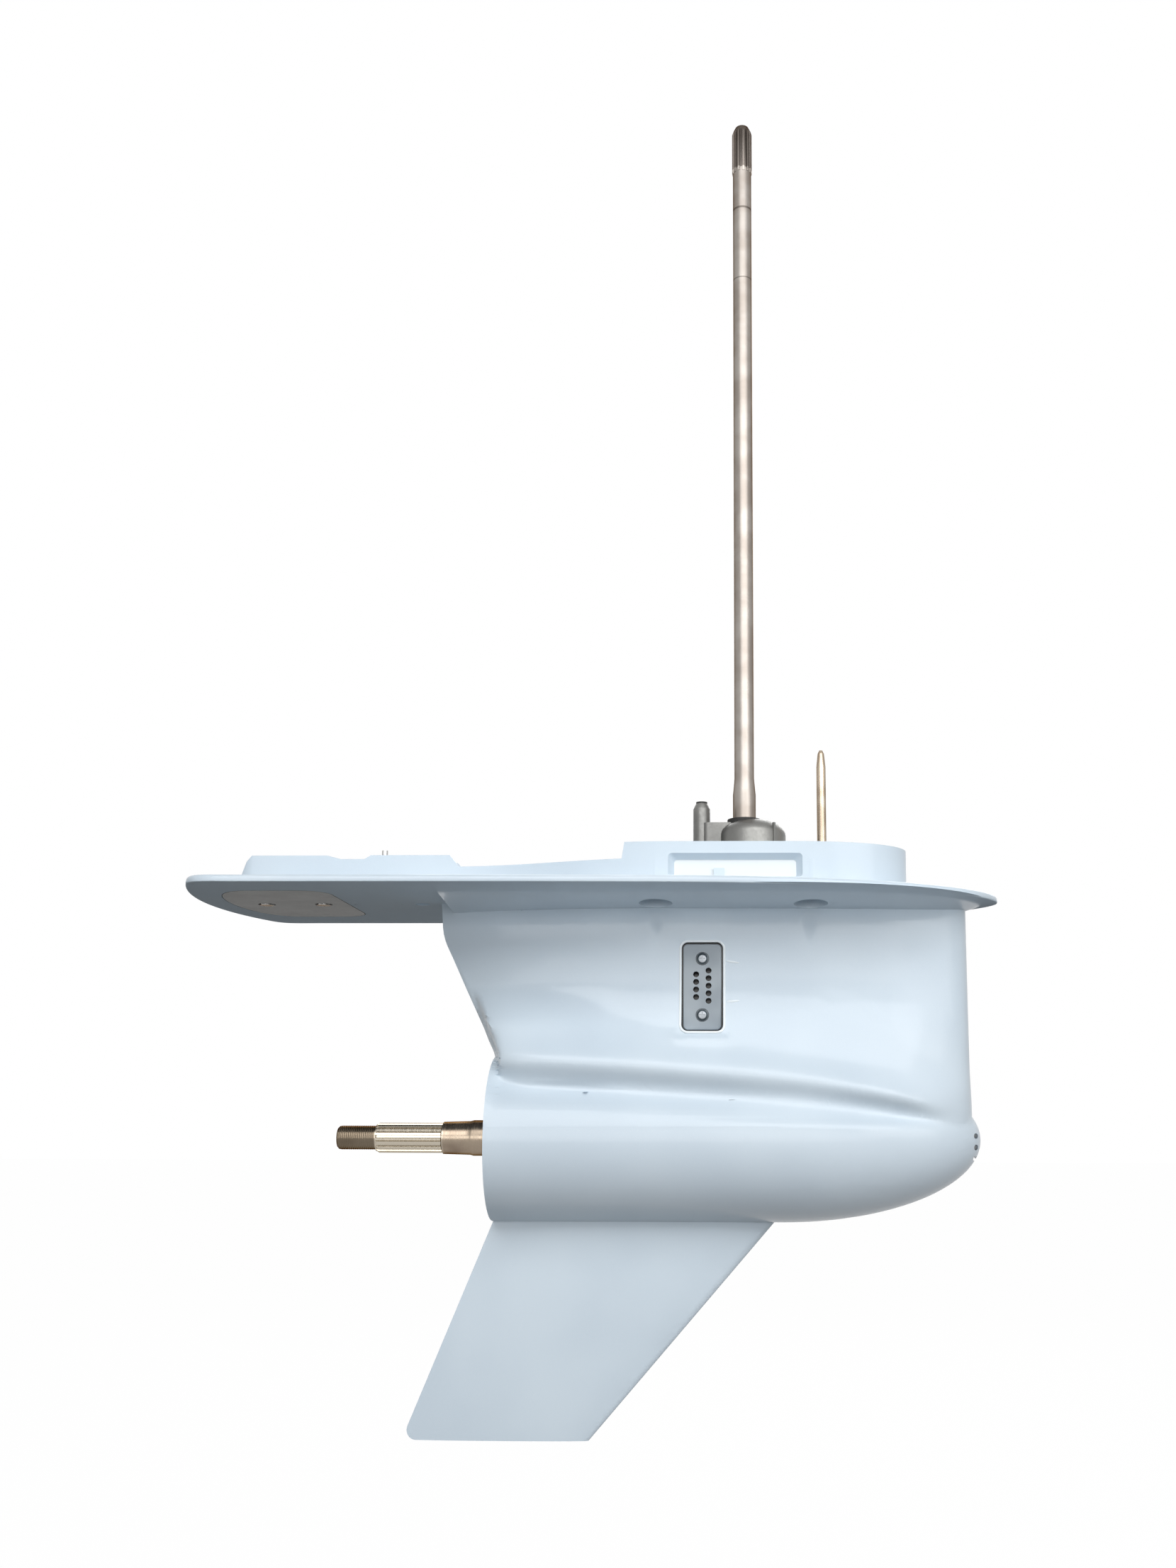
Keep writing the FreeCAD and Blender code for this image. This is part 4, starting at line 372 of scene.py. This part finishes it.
# %% A socket that can be reckoned with
class Wire:
    """One output socket of a node tree, with the usual operators."""

    def __init__(self, socket):
        self.socket = socket

    @classmethod
    def node(cls, tree, kind, inputs=None, out=0, **settings):
        """A node of a kind: its settings are set first, then its sockets."""
        made = tree.nodes.new("ShaderNode" + kind)
        for name, value in settings.items():
            setattr(made, name, value)
        for name, value in (inputs or {}).items():
            if isinstance(value, Wire):
                tree.links.new(value.socket, made.inputs[name])
            else:
                made.inputs[name].default_value = value
        return cls(made.outputs[out])

    def maths(self, operation, *others):
        return self.node(self.socket.id_data, "Math", dict(enumerate([self, *others])),
                         operation=operation)

    def __add__(self, other):
        return self.maths("ADD", other)

    def __sub__(self, other):
        return self.maths("SUBTRACT", other)

    def __mul__(self, other):
        return self.maths("MULTIPLY", other)

    def __rsub__(self, other):
        return self.node(self.socket.id_data, "Math", {0: other, 1: self},
                         operation="SUBTRACT")

    __radd__, __rmul__ = __add__, __mul__

    def size(self):
        return self.maths("ABSOLUTE")

    def between(self, low, high, start=0.0, end=1.0):
        """Runs from start to end as the wire goes from low to high, softly."""
        return self.node(self.socket.id_data, "MapRange",
                         {"Value": self, "From Min": low, "From Max": high,
                          "To Min": start, "To Max": end},
                         interpolation_type="SMOOTHSTEP")

    def band(self, low, high, soft=0.0004):
        """1 between two values and 0 outside them, with soft ends."""
        rise = self.between(low - soft, low + soft)
        return rise * self.between(high - soft, high + soft, 1.0, 0.0)


class Finish:
    """A material with its shader, and the patterns that most finishes share."""

    def __init__(self, name, **sockets):
        self.material = bpy.data.materials.new(name)
        self.material.use_nodes = True
        self.tree = self.material.node_tree
        self.shader = self.tree.nodes["Principled BSDF"]
        for socket, value in sockets.items():
            self.shader.inputs[socket.replace("_", " ")].default_value = value
        self.place = self.make("TexCoord", out="Object")
        parts = self.tree.nodes.new("ShaderNodeSeparateXYZ")
        self.tree.links.new(self.place.socket, parts.inputs[0])
        self.x, self.y, self.z = (Wire(out) for out in parts.outputs)

    def make(self, kind, inputs=None, **rest):
        return Wire.node(self.tree, kind, inputs, **rest)

    def noise(self, scale, detail, stretch=None):
        """Noise of a scale per metre, stretched along the axes by a Mapping node."""
        spot = self.place
        if stretch:
            spot = self.make("Mapping", {"Vector": self.place, "Scale": stretch})
        return self.make("TexNoise", {"Vector": spot, "Scale": scale, "Detail": detail})

    def blend(self, amount, first, second):
        """A colour between two others."""
        return self.make("Mix", {0: amount, 6: first, 7: second}, out=2,
                         data_type="RGBA")

    def feed(self, **wires):
        """Links wires to the shader's sockets."""
        for socket, wire in wires.items():
            self.tree.links.new(wire.socket,
                                self.shader.inputs[socket.replace("_", " ")])
        return self

    def toned(self, tone):
        """Gives the finish its colour, and keeps it for colours laid over it."""
        self.tone = tone
        return self.feed(Base_Color=tone)

    def over(self, amount, second):
        """Lays another colour over the finish's own, where the amount is above 0."""
        return self.toned(self.blend(amount, self.tone, second))

    def bump(self, height, distance, strength):
        """Feeds a height, in a share of distance in metres, to the shader's normal."""
        return self.feed(Normal=self.make("Bump", {"Height": height, "Distance": distance,
                                                   "Strength": strength}))


def colour(red, green, blue):
    """A colour with its alpha, in linear light."""
    return (red, green, blue, 1.0)


# %% [markdown]
# The housing is cast aluminium under a silver-grey gloss paint. The paint is nearly even,
# so most of its look is in the highlights: a clear coat over a rougher base, an almost
# invisible orange peel, and a slow change of tone where the casting is a little dull. The
# plate's underside is dull and uncoated, because a glossy one would mirror the white floor
# at this low angle. The pockets behind the screens are painted near black, as painted
# shade, and the back of the recess in the deck's side is painted paler, as a painted
# highlight. Masks on the part's own coordinates pick these places out, which is simpler
# than cutting the mesh for more materials.

# %% Paint
RECESS_X, RECESS_Y, RECESS_Z = (-0.060, 0.042), (0.048, 0.0515), (-0.031, -0.0145)
POCKET_Y, POCKET_MARGIN = (0.01, 0.0368), 0.002
PLATE_UNDER_Z = (-0.0470, -0.0435)


def paint_finish(name, low_tone, high_tone, coat=0.4):
    """Gloss paint: slow clouds of tone, fine flakes and a faint orange peel."""
    made = Finish(name, Coat_Roughness=0.12, Coat_IOR=1.5, Specular_IOR_Level=0.3)
    cloud = made.noise(9.0, 2.0)
    flakes = made.noise(2400.0, 1.0)
    peel = made.noise(420.0, 2.0)
    made.toned(made.blend(cloud.between(0.3, 0.7), low_tone, high_tone))
    made.over(flakes.between(0.45, 0.75) * 0.2, colour(0.70, 0.76, 0.80))
    under = made.z.band(*PLATE_UNDER_Z, 0.0006)
    made.feed(Roughness=cloud.between(0.2, 0.8, 0.36, 0.46) + under * 0.45,
              Coat_Weight=(1.0 - under) * coat)
    return made.bump(peel, 0.00004, 0.35)


paint = paint_finish("paint", colour(0.55, 0.64, 0.72), colour(0.60, 0.69, 0.765))
# Painted shade: the pockets behind the screens are painted near black.
painted_shade_behind_screens = (paint.x.band(INLET_X[0] - POCKET_MARGIN, INLET_X[1] + POCKET_MARGIN)
                  * paint.z.band(INLET_Z[0] - POCKET_MARGIN, INLET_Z[1] + POCKET_MARGIN)
                  * paint.y.size().band(*POCKET_Y))
paint.over(painted_shade_behind_screens, colour(0.004, 0.004, 0.005))
# Painted highlight: the back of the recess in the deck's side is painted paler.
painted_highlight_in_recess = (paint.x.band(*RECESS_X) * paint.z.band(*RECESS_Z)
               * paint.y.size().band(*RECESS_Y))
paint.over(painted_highlight_in_recess, colour(0.72, 0.76, 0.78))
# A paler paint for the lips and the casting marks: a painted highlight.
painted_highlight_paint = paint_finish("painted_highlight_paint", colour(0.78, 0.84, 0.88), colour(0.82, 0.87, 0.90))
print("paint has", len(paint.tree.nodes), "nodes")

# %% [markdown]
# The inlet screens are moulded plastic, the seals are rubber, and the pump and the bearing
# carrier are cast metal. A photograph of a surface could show each, but noise in the
# shader works at any distance: a cast metal is blotchy and sandy, and a moulded piece has
# a fine even grain. The anode's alloy has gone dull, so it has such a grain and no shine.

# %% Plastic, rubber and cast metals
def moulded(name, dark, light, rough, grain=900.0):
    """A moulded finish: fine grain and a slow change of tone."""
    made = Finish(name, Specular_IOR_Level=0.45)
    slow, fine = made.noise(30.0, 2.0), made.noise(grain, 2.0)
    made.toned(made.blend(slow.between(0.3, 0.7), dark, light))
    made.feed(Roughness=fine.between(0.2, 0.8, rough, rough + 0.1))
    return made.bump(fine, 0.00005, 0.5)


def cast_metal(name, dark, light, rough):
    """A cast metal: a blotchy tone and a sandy bump."""
    made = Finish(name, Metallic=0.85)
    slow, sand = made.noise(24.0, 4.0), made.noise(380.0, 4.0)
    made.toned(made.blend(slow.between(0.3, 0.7), dark, light))
    made.feed(Roughness=sand.between(0.25, 0.75, rough, rough + 0.16))
    return made.bump(sand, 0.00016, 0.6)


grey_plastic = moulded("grey_plastic", colour(0.25, 0.29, 0.325),
                       colour(0.34, 0.385, 0.42), 0.38)
black_plastic = moulded("black_plastic", colour(0.012, 0.012, 0.013),
                        colour(0.03, 0.03, 0.03), 0.45)
black_rubber = moulded("black_rubber", colour(0.01, 0.01, 0.01),
                       colour(0.022, 0.021, 0.02), 0.62)
anode_alloy = moulded("anode_alloy", colour(0.20, 0.195, 0.185),
                      colour(0.28, 0.275, 0.265), 0.55, 380.0)
pump_metal = cast_metal("pump_metal", colour(0.14, 0.14, 0.135),
                        colour(0.21, 0.21, 0.20), 0.36)
cast_alloy = cast_metal("cast_alloy", colour(0.50, 0.51, 0.52),
                        colour(0.62, 0.63, 0.63), 0.32)

# %% [markdown]
# Turned steel has fine rings round its axis. Cutting them into the mesh would take very
# many faces, so its noise is stretched: it changes quickly along the axis and hardly at
# all round it. The shafts are a warm brown grey, darker on the driveshaft's splines at its
# top and on the propeller shaft's thread. The propeller shaft's own splines are worn
# bright. A dark tint of the specular edge keeps the rims of the shafts from turning white.

# %% Turned metals
ALONG_X, ALONG_Z, EVEN = (1500.0, 6.0, 6.0), (6.0, 6.0, 1500.0), (60.0, 60.0, 60.0)
CROWN_Z, SCRATCHES_Z = (0.652, 0.720), ((0.6095, 0.6115), (0.5395, 0.5405))
SPLINES_X, THREAD_START_X = (-0.3142, -0.2565), -0.3145


def turned_metal(name, dark, light, rough, stretch):
    """A turned metal: rings from noise that is fine along the axis and slow round it."""
    made = Finish(name, Metallic=1.0, Specular_Tint=colour(0.25, 0.18, 0.12))
    rings, slow = made.noise(1.0, 3.0, stretch), made.noise(40.0, 2.0)
    made.toned(made.blend(slow.between(0.35, 0.65), dark, light))
    made.feed(Roughness=rings.between(0.3, 0.7, rough, rough + 0.12))
    return made.bump(rings, 0.00003, 0.4)


shaft_steel = turned_metal("shaft_steel", colour(0.27, 0.24, 0.215),
                           colour(0.34, 0.315, 0.29), 0.32, ALONG_Z)
shaft_steel.over(shaft_steel.z.band(*CROWN_Z, 0.0006) * 0.8, colour(0.10, 0.085, 0.075))
scratches = shaft_steel.z.band(*SCRATCHES_Z[0]) + shaft_steel.z.band(*SCRATCHES_Z[1])
shaft_steel.over(scratches * 0.7, colour(0.07, 0.06, 0.05))

prop_steel = turned_metal("prop_steel", colour(0.22, 0.17, 0.13),
                          colour(0.32, 0.26, 0.20), 0.2, ALONG_X)
prop_steel.over(prop_steel.x.band(*SPLINES_X, 0.0015), colour(0.50, 0.45, 0.37))
thread_zone = prop_steel.x.between(THREAD_START_X - 0.0005, THREAD_START_X, 1.0, 0.0)
prop_steel.over(thread_zone * 0.75, colour(0.10, 0.08, 0.055))

bright_steel = turned_metal("bright_steel", colour(0.50, 0.50, 0.50),
                            colour(0.62, 0.62, 0.61), 0.24, ALONG_X)
gear_steel = turned_metal("gear_steel", colour(0.30, 0.30, 0.31),
                          colour(0.42, 0.42, 0.43), 0.28, ALONG_X)
bronze = turned_metal("bronze", colour(0.36, 0.29, 0.22),
                      colour(0.50, 0.42, 0.33), 0.22, ALONG_Z)

# %% [markdown]
# Two screws hold each screen. Seen from the side each is a light disc with a dark ring,
# which is painted shade for the gap round the head. A ring of that size could be its own
# small mesh, but it has no height, so it is a colour: the distance from the nearer screw's
# middle, mirrored about the screen's middle, picks it out.

# %% Screws of the inlet screens
SCREW_X, SCREW_MID_Z, SCREW_INSET = sum(INLET_X) / 2, sum(INLET_Z) / 2, 0.0124
SCREW_HALF_PITCH = (INLET_Z[1] - INLET_Z[0]) / 2 - SCREW_INSET
PAINTED_SHADE_RING_R = (0.0032, 0.0048)

screw_steel = turned_metal("screw_steel", colour(0.26, 0.28, 0.30),
                           colour(0.36, 0.38, 0.40), 0.42, EVEN)
off_x = screw_steel.x - SCREW_X
off_z = (screw_steel.z - SCREW_MID_Z).size() - SCREW_HALF_PITCH
from_middle = (off_x * off_x + off_z * off_z).maths("SQRT")
# Painted shade: a dark ring round each screw head, for the gap round it.
screw_steel.over(from_middle.band(*PAINTED_SHADE_RING_R, 0.0003), colour(0.06, 0.075, 0.085))

# %% [markdown]
# Each node's slot in the record names its finish, so one table dresses them all, the
# hidden CAD node as well as its copy. The propeller shaft and the screws don't look like
# the rest of their slots, so their copies are dressed again, each with its own finish.

# %% Give every node its finish
finishes = {"paint": paint, "grey_plastic": grey_plastic, "pump_metal": pump_metal,
            "cast_alloy": cast_alloy, "anode_alloy": anode_alloy,
            "shaft_steel": shaft_steel, "bright_steel": bright_steel,
            "gear_steel": gear_steel, "bronze": bronze, "black_rubber": black_rubber,
            "black_plastic": black_plastic}


def dress(thing, finish):
    """Puts one finish on a piece."""
    thing.data.materials.clear()
    thing.data.materials.append(finish.material)


for node, copy in copies.items():
    dress(copy, finishes[slot_of[node]])
    dress(frame["nodes"][node], finishes[slot_of[node]])
dress(copies["prop_shaft"], prop_steel)
dress(copies["inlet_screws"], screw_steel)
print("dressed", len(copies), "nodes")

# %% [markdown]
# The thread at the end of the propeller shaft holds the propeller's nut. A Screw modifier
# could wind a profile, but its ends would stay open, so the thread is a closed surface: a
# radius that depends on two things only, how far along the shaft a point is and the angle
# round it. The thread climbs one pitch in each turn and runs out at both ends.

# %% Thread on the propeller shaft
def zigzag(turns):
    """Goes 0 to 1 and back to 0 once in each turn."""
    return 1.0 - np.abs(2.0 * (turns % 1.0) - 1.0)


def thread_sleeve(start, end, root, crest, bore, pitch, across=8, round_steps=72):
    """A closed sleeve with a screw thread outside. At place x and angle a the outer
    radius is root + (crest - root) * 1.3 * zigzag(x / pitch - a / full turn), cut off at
    the crest so that it is a little flat. It falls to the root at both ends, and a smooth
    bore inside closes it."""
    count = int(round((end - start) / pitch * across)) + 1
    x = np.linspace(start, end, count)[:, None]
    angle = np.linspace(0.0, 2.0 * np.pi, round_steps, endpoint=False)[None, :]
    runout = np.clip(np.minimum(x - start, end - x) / pitch, 0.0, 1.0)
    height = np.clip(1.3 * zigzag(x / pitch - angle / (2.0 * np.pi)), 0.0, 1.0)
    radius = root + (crest - root) * height * runout
    x = np.concatenate([x[:, 0], [end, start]])[:, None]
    radius = np.concatenate([radius, np.full((2, round_steps), bore)])
    return np.stack([x + 0.0 * angle, radius * np.cos(angle),
                     AXIS_Z + radius * np.sin(angle)], -1)


thread = skin("propeller_thread",
              thread_sleeve(start=-0.3455, end=THREAD_START_X, root=0.00972,
                            crest=0.01006, bore=0.0090, pitch=0.0016),
              body="prop_shaft")
dress(thread, prop_steel)

# %% [markdown]
# The grey screens sit in openings of the strut, and the paint is raised a little round
# each opening. A bevelled curve could follow the opening but not the bulge of the strut, so
# the lip is a bead, half sunk, that is lifted all along to the height read beside it. The
# lip's paler paint is a painted highlight.

# %% Raised lips round the inlet screens
def rectangle_loop(x_range, z_range, corner, grow, arc_steps=10, side_steps=12):
    """The loop of a rounded rectangle and its outward directions: four corner arcs,
    centre + radius * direction, joined by evenly divided straight sides."""
    x0, x1 = x_range[0] + corner, x_range[1] - corner
    z0, z1 = z_range[0] + corner, z_range[1] - corner
    centres = np.array([(x1, z1), (x0, z1), (x0, z0), (x1, z0)])
    angle = np.linspace(0.0, np.pi / 2.0, arc_steps)[None, :] + (
        np.arange(4)[:, None] * np.pi / 2.0)
    out = np.stack([np.cos(angle), np.sin(angle)], -1)
    arcs = centres[:, None, :] + (corner + grow) * out
    following = np.roll(arcs[:, 0], -1, axis=0)
    share = np.linspace(0.0, 1.0, side_steps + 2)[1:-1][None, :, None]
    sides = arcs[:, -1:, :] * (1 - share) + following[:, None, :] * share
    side_out = np.broadcast_to(out[:, -1:, :], sides.shape)
    loop = np.concatenate([arcs, sides], 1).reshape(-1, 2)
    outward = np.concatenate([out, side_out], 1).reshape(-1, 2)
    return loop, outward


def screen_lip(side, gap=0.0024, width=0.0011, height=0.0008, sunk=0.0002, aside=0.0015):
    """A bead carried along a rounded rectangle: at angle t of the bead the point is
    loop + width * cos(t) * outward, raised by height * sin(t) from the strut. The strut's
    height is read a little outside the loop, clear of the opening's edge."""
    loop, outward = rectangle_loop(INLET_X, INLET_Z, INLET_CORNER, gap)
    t = np.linspace(0.0, 2.0 * np.pi, 20, endpoint=False)[None, :, None]
    flat = loop[:, None, :] + width * np.cos(t) * outward[:, None, :]
    beside = loop + aside * outward
    base = side_height(beside[:, 0], beside[:, 1], side)
    base = np.broadcast_to(base[:, None], flat.shape[:2])
    y = side * (base + height * np.sin(t[:, :, 0]) - sunk)
    return np.stack([flat[..., 0], y, flat[..., 1]], -1)


SIDES = {"starboard": -1.0, "port": 1.0}
for word, side in SIDES.items():
    dress(skin("inlet_lip_" + word, screen_lip(side)), painted_highlight_paint)

# %% [markdown]
# Beside each screen the casting shows two short raised marks, as a mould leaves. A bump
# would give them no outline, so each is a long low ellipsoid that lies on the strut,
# turned a little in the strut's own plane. They wear the lips' paler paint, a painted
# highlight.

# %% Casting marks
MARK_X, MARKS = -0.0110, {"upper": (-0.0990, -8.0), "lower": (-0.1320, 5.0)}


def casting_mark(z, tilt_degrees, side, length=0.0055, width=0.0009, height=0.0005):
    """An ellipsoid: around angle a and from end to end by angle b, the point is
    length cos(b) along the mark, width sin(b) cos(a) across it and height sin(b) sin(a)
    off the strut. The rows of its two poles fall together and are merged."""
    a = np.linspace(0.0, 2.0 * np.pi, 24, endpoint=False)[None, :]
    b = np.linspace(0.0, np.pi, 25)[:, None]
    along, across = length * np.cos(b) + 0.0 * a, width * np.sin(b) * np.cos(a)
    tilt = math.radians(tilt_degrees)
    px = MARK_X + along * math.cos(tilt) - across * math.sin(tilt)
    pz = z + along * math.sin(tilt) + across * math.cos(tilt)
    base = side_height(px, pz, side)
    return np.stack([px, side * (base + height * np.sin(b) * np.sin(a)), pz], -1)


for word, side in SIDES.items():
    for place, (z, tilt) in MARKS.items():
        mark = skin(f"casting_mark_{place}_{word}", casting_mark(z, tilt, side),
                    rows_closed=False)
        dress(mark, painted_highlight_paint)

# %% [markdown]
# The photograph is taken from the starboard side, from a little below the plate. The
# camera's place and angle come from matching known points of the part with the picture.
# Its lens is shifted a little as well, as in a picture that was cropped off its centre.

# %% Camera
CAMERA_PLACE = (-0.0278, -1.2224, -0.2217)
CAMERA_TURNS = (("Z", 1.3), ("X", 8.45), ("Y", -0.17))     # degrees, the last comes first
CAMERA_LENS, CAMERA_SHIFT = 32.60, (-0.0592, 0.0732)

camera = bpy.data.objects.new("camera", bpy.data.cameras.new("camera"))
bpy.context.scene.collection.objects.link(camera)
aim = Matrix.Identity(3)
for axis, degrees in CAMERA_TURNS:
    aim = aim @ Matrix.Rotation(math.radians(degrees), 3, axis)
aim = np.array(aim)
pose = np.eye(4)
pose[:3, 0], pose[:3, 1], pose[:3, 2] = aim[:, 0], aim[:, 2], -aim[:, 1]
pose[:3, 3] = CAMERA_PLACE
camera.matrix_world = Matrix(pose.tolist())
camera.data.sensor_width = 36.0
camera.data.lens = CAMERA_LENS
camera.data.shift_x, camera.data.shift_y = CAMERA_SHIFT
camera.data.clip_start, camera.data.clip_end = 0.01, 50.0
bpy.context.scene.camera = camera
print("camera at", [round(v, 4) for v in camera.location])

# %% [markdown]
# The studio is white and plain. A bright world would be simpler, but it would wash out the
# paint. So the floor and the sky show white to the camera and in reflections, and light
# the part at a lower level, and the floor keeps a little of its own shading for shadows.

# %% Floor and sky
FLOOR_Z, FLOOR_REACH = -0.76, 14.0
GLOW, GLOW_SHARE = 1.09, 0.90              # the rest of the floor is its shaded colour
SKY_LEVEL = 0.14                           # what the white sky lights the part with
WHITE = colour(1.0, 1.0, 1.0)


def shown_white(tree):
    """1 for rays from the camera, off gloss or through glass, and 0 for rays that light."""
    path = tree.nodes.new("ShaderNodeLightPath")
    seen = Wire(path.outputs["Is Camera Ray"])
    seen = seen.maths("MAXIMUM", Wire(path.outputs["Is Glossy Ray"]))
    return seen.maths("MAXIMUM", Wire(path.outputs["Is Transmission Ray"]))


floor_mesh = bpy.data.meshes.new("floor")
corners = [(x * FLOOR_REACH, y * FLOOR_REACH, FLOOR_Z)
           for x, y in ((-1, -1), (1, -1), (1, 1), (-1, 1))]
floor_mesh.from_pydata(corners, [], [(0, 1, 2, 3)])
floor = bpy.data.objects.new("floor", floor_mesh)
bpy.context.scene.collection.objects.link(floor)
ground = Finish("floor", Roughness=0.9, Base_Color=colour(0.15, 0.15, 0.15))
glow = ground.make("Emission", {"Color": WHITE, "Strength": GLOW})
mixed = ground.make("MixShader", {0: shown_white(ground.tree) * GLOW_SHARE,
                                  1: Wire(ground.shader.outputs["BSDF"]), 2: glow})
ground.tree.links.new(mixed.socket,
                      ground.tree.nodes["Material Output"].inputs["Surface"])
dress(floor, ground)

sky = bpy.data.worlds.new("studio")
bpy.context.scene.world = sky
sky.use_nodes = True
sky.node_tree.nodes.clear()
strength = shown_white(sky.node_tree) * (1.0 - SKY_LEVEL) + SKY_LEVEL
light = Wire.node(sky.node_tree, "Background", {"Color": WHITE, "Strength": strength})
world_out = sky.node_tree.nodes.new("ShaderNodeOutputWorld")
sky.node_tree.links.new(light.socket, world_out.inputs["Surface"])

# %% [markdown]
# Four large soft lamps make the bands of light on the paint: one high in front for the
# tops of the rounded forms, a long low one in front that lights the sides, a weaker one
# off the bow, and one behind for the far side. Large lamps near the part give soft edges to
# the light, which small or far ones can't.

# %% Lamps
def lamp(name, place, target, width, height, watts):
    """A rectangular area lamp that faces a target, with its width level."""
    data = bpy.data.lights.new(name, "AREA")
    data.shape, data.size, data.size_y, data.energy = "RECTANGLE", width, height, watts
    thing = bpy.data.objects.new(name, data)
    bpy.context.scene.collection.objects.link(thing)
    away = np.array(place) - np.array(target)
    away = away / np.linalg.norm(away)
    right = np.cross((0.0, 0.0, 1.0), away)
    right = right / np.linalg.norm(right)
    matrix = np.eye(4)
    matrix[:3, 0], matrix[:3, 1], matrix[:3, 2] = right, np.cross(away, right), away
    matrix[:3, 3] = place
    thing.matrix_world = Matrix(matrix.tolist())
    thing.visible_camera = False
    print("lamp", name, watts, "W")


lamp("key", (0.20, -1.80, 1.15), (0.0, 0.0, -0.25), 2.8, 1.3, 40.0)
lamp("front", (-0.20, -2.4, 0.00), (0.0, 0.0, -0.2), 3.2, 0.7, 19.0)
lamp("bow", (1.50, -1.60, 0.35), (0.0, 0.0, -0.2), 1.2, 0.9, 9.0)
lamp("back", (0.2, 1.9, 1.2), (-0.05, 0.0, -0.1), 2.0, 1.2, 22.0)

# %% [markdown]
# The Standard view shows each colour about as it is written.

# %% View settings and the last line
bpy.context.scene.view_settings.view_transform = "Standard"
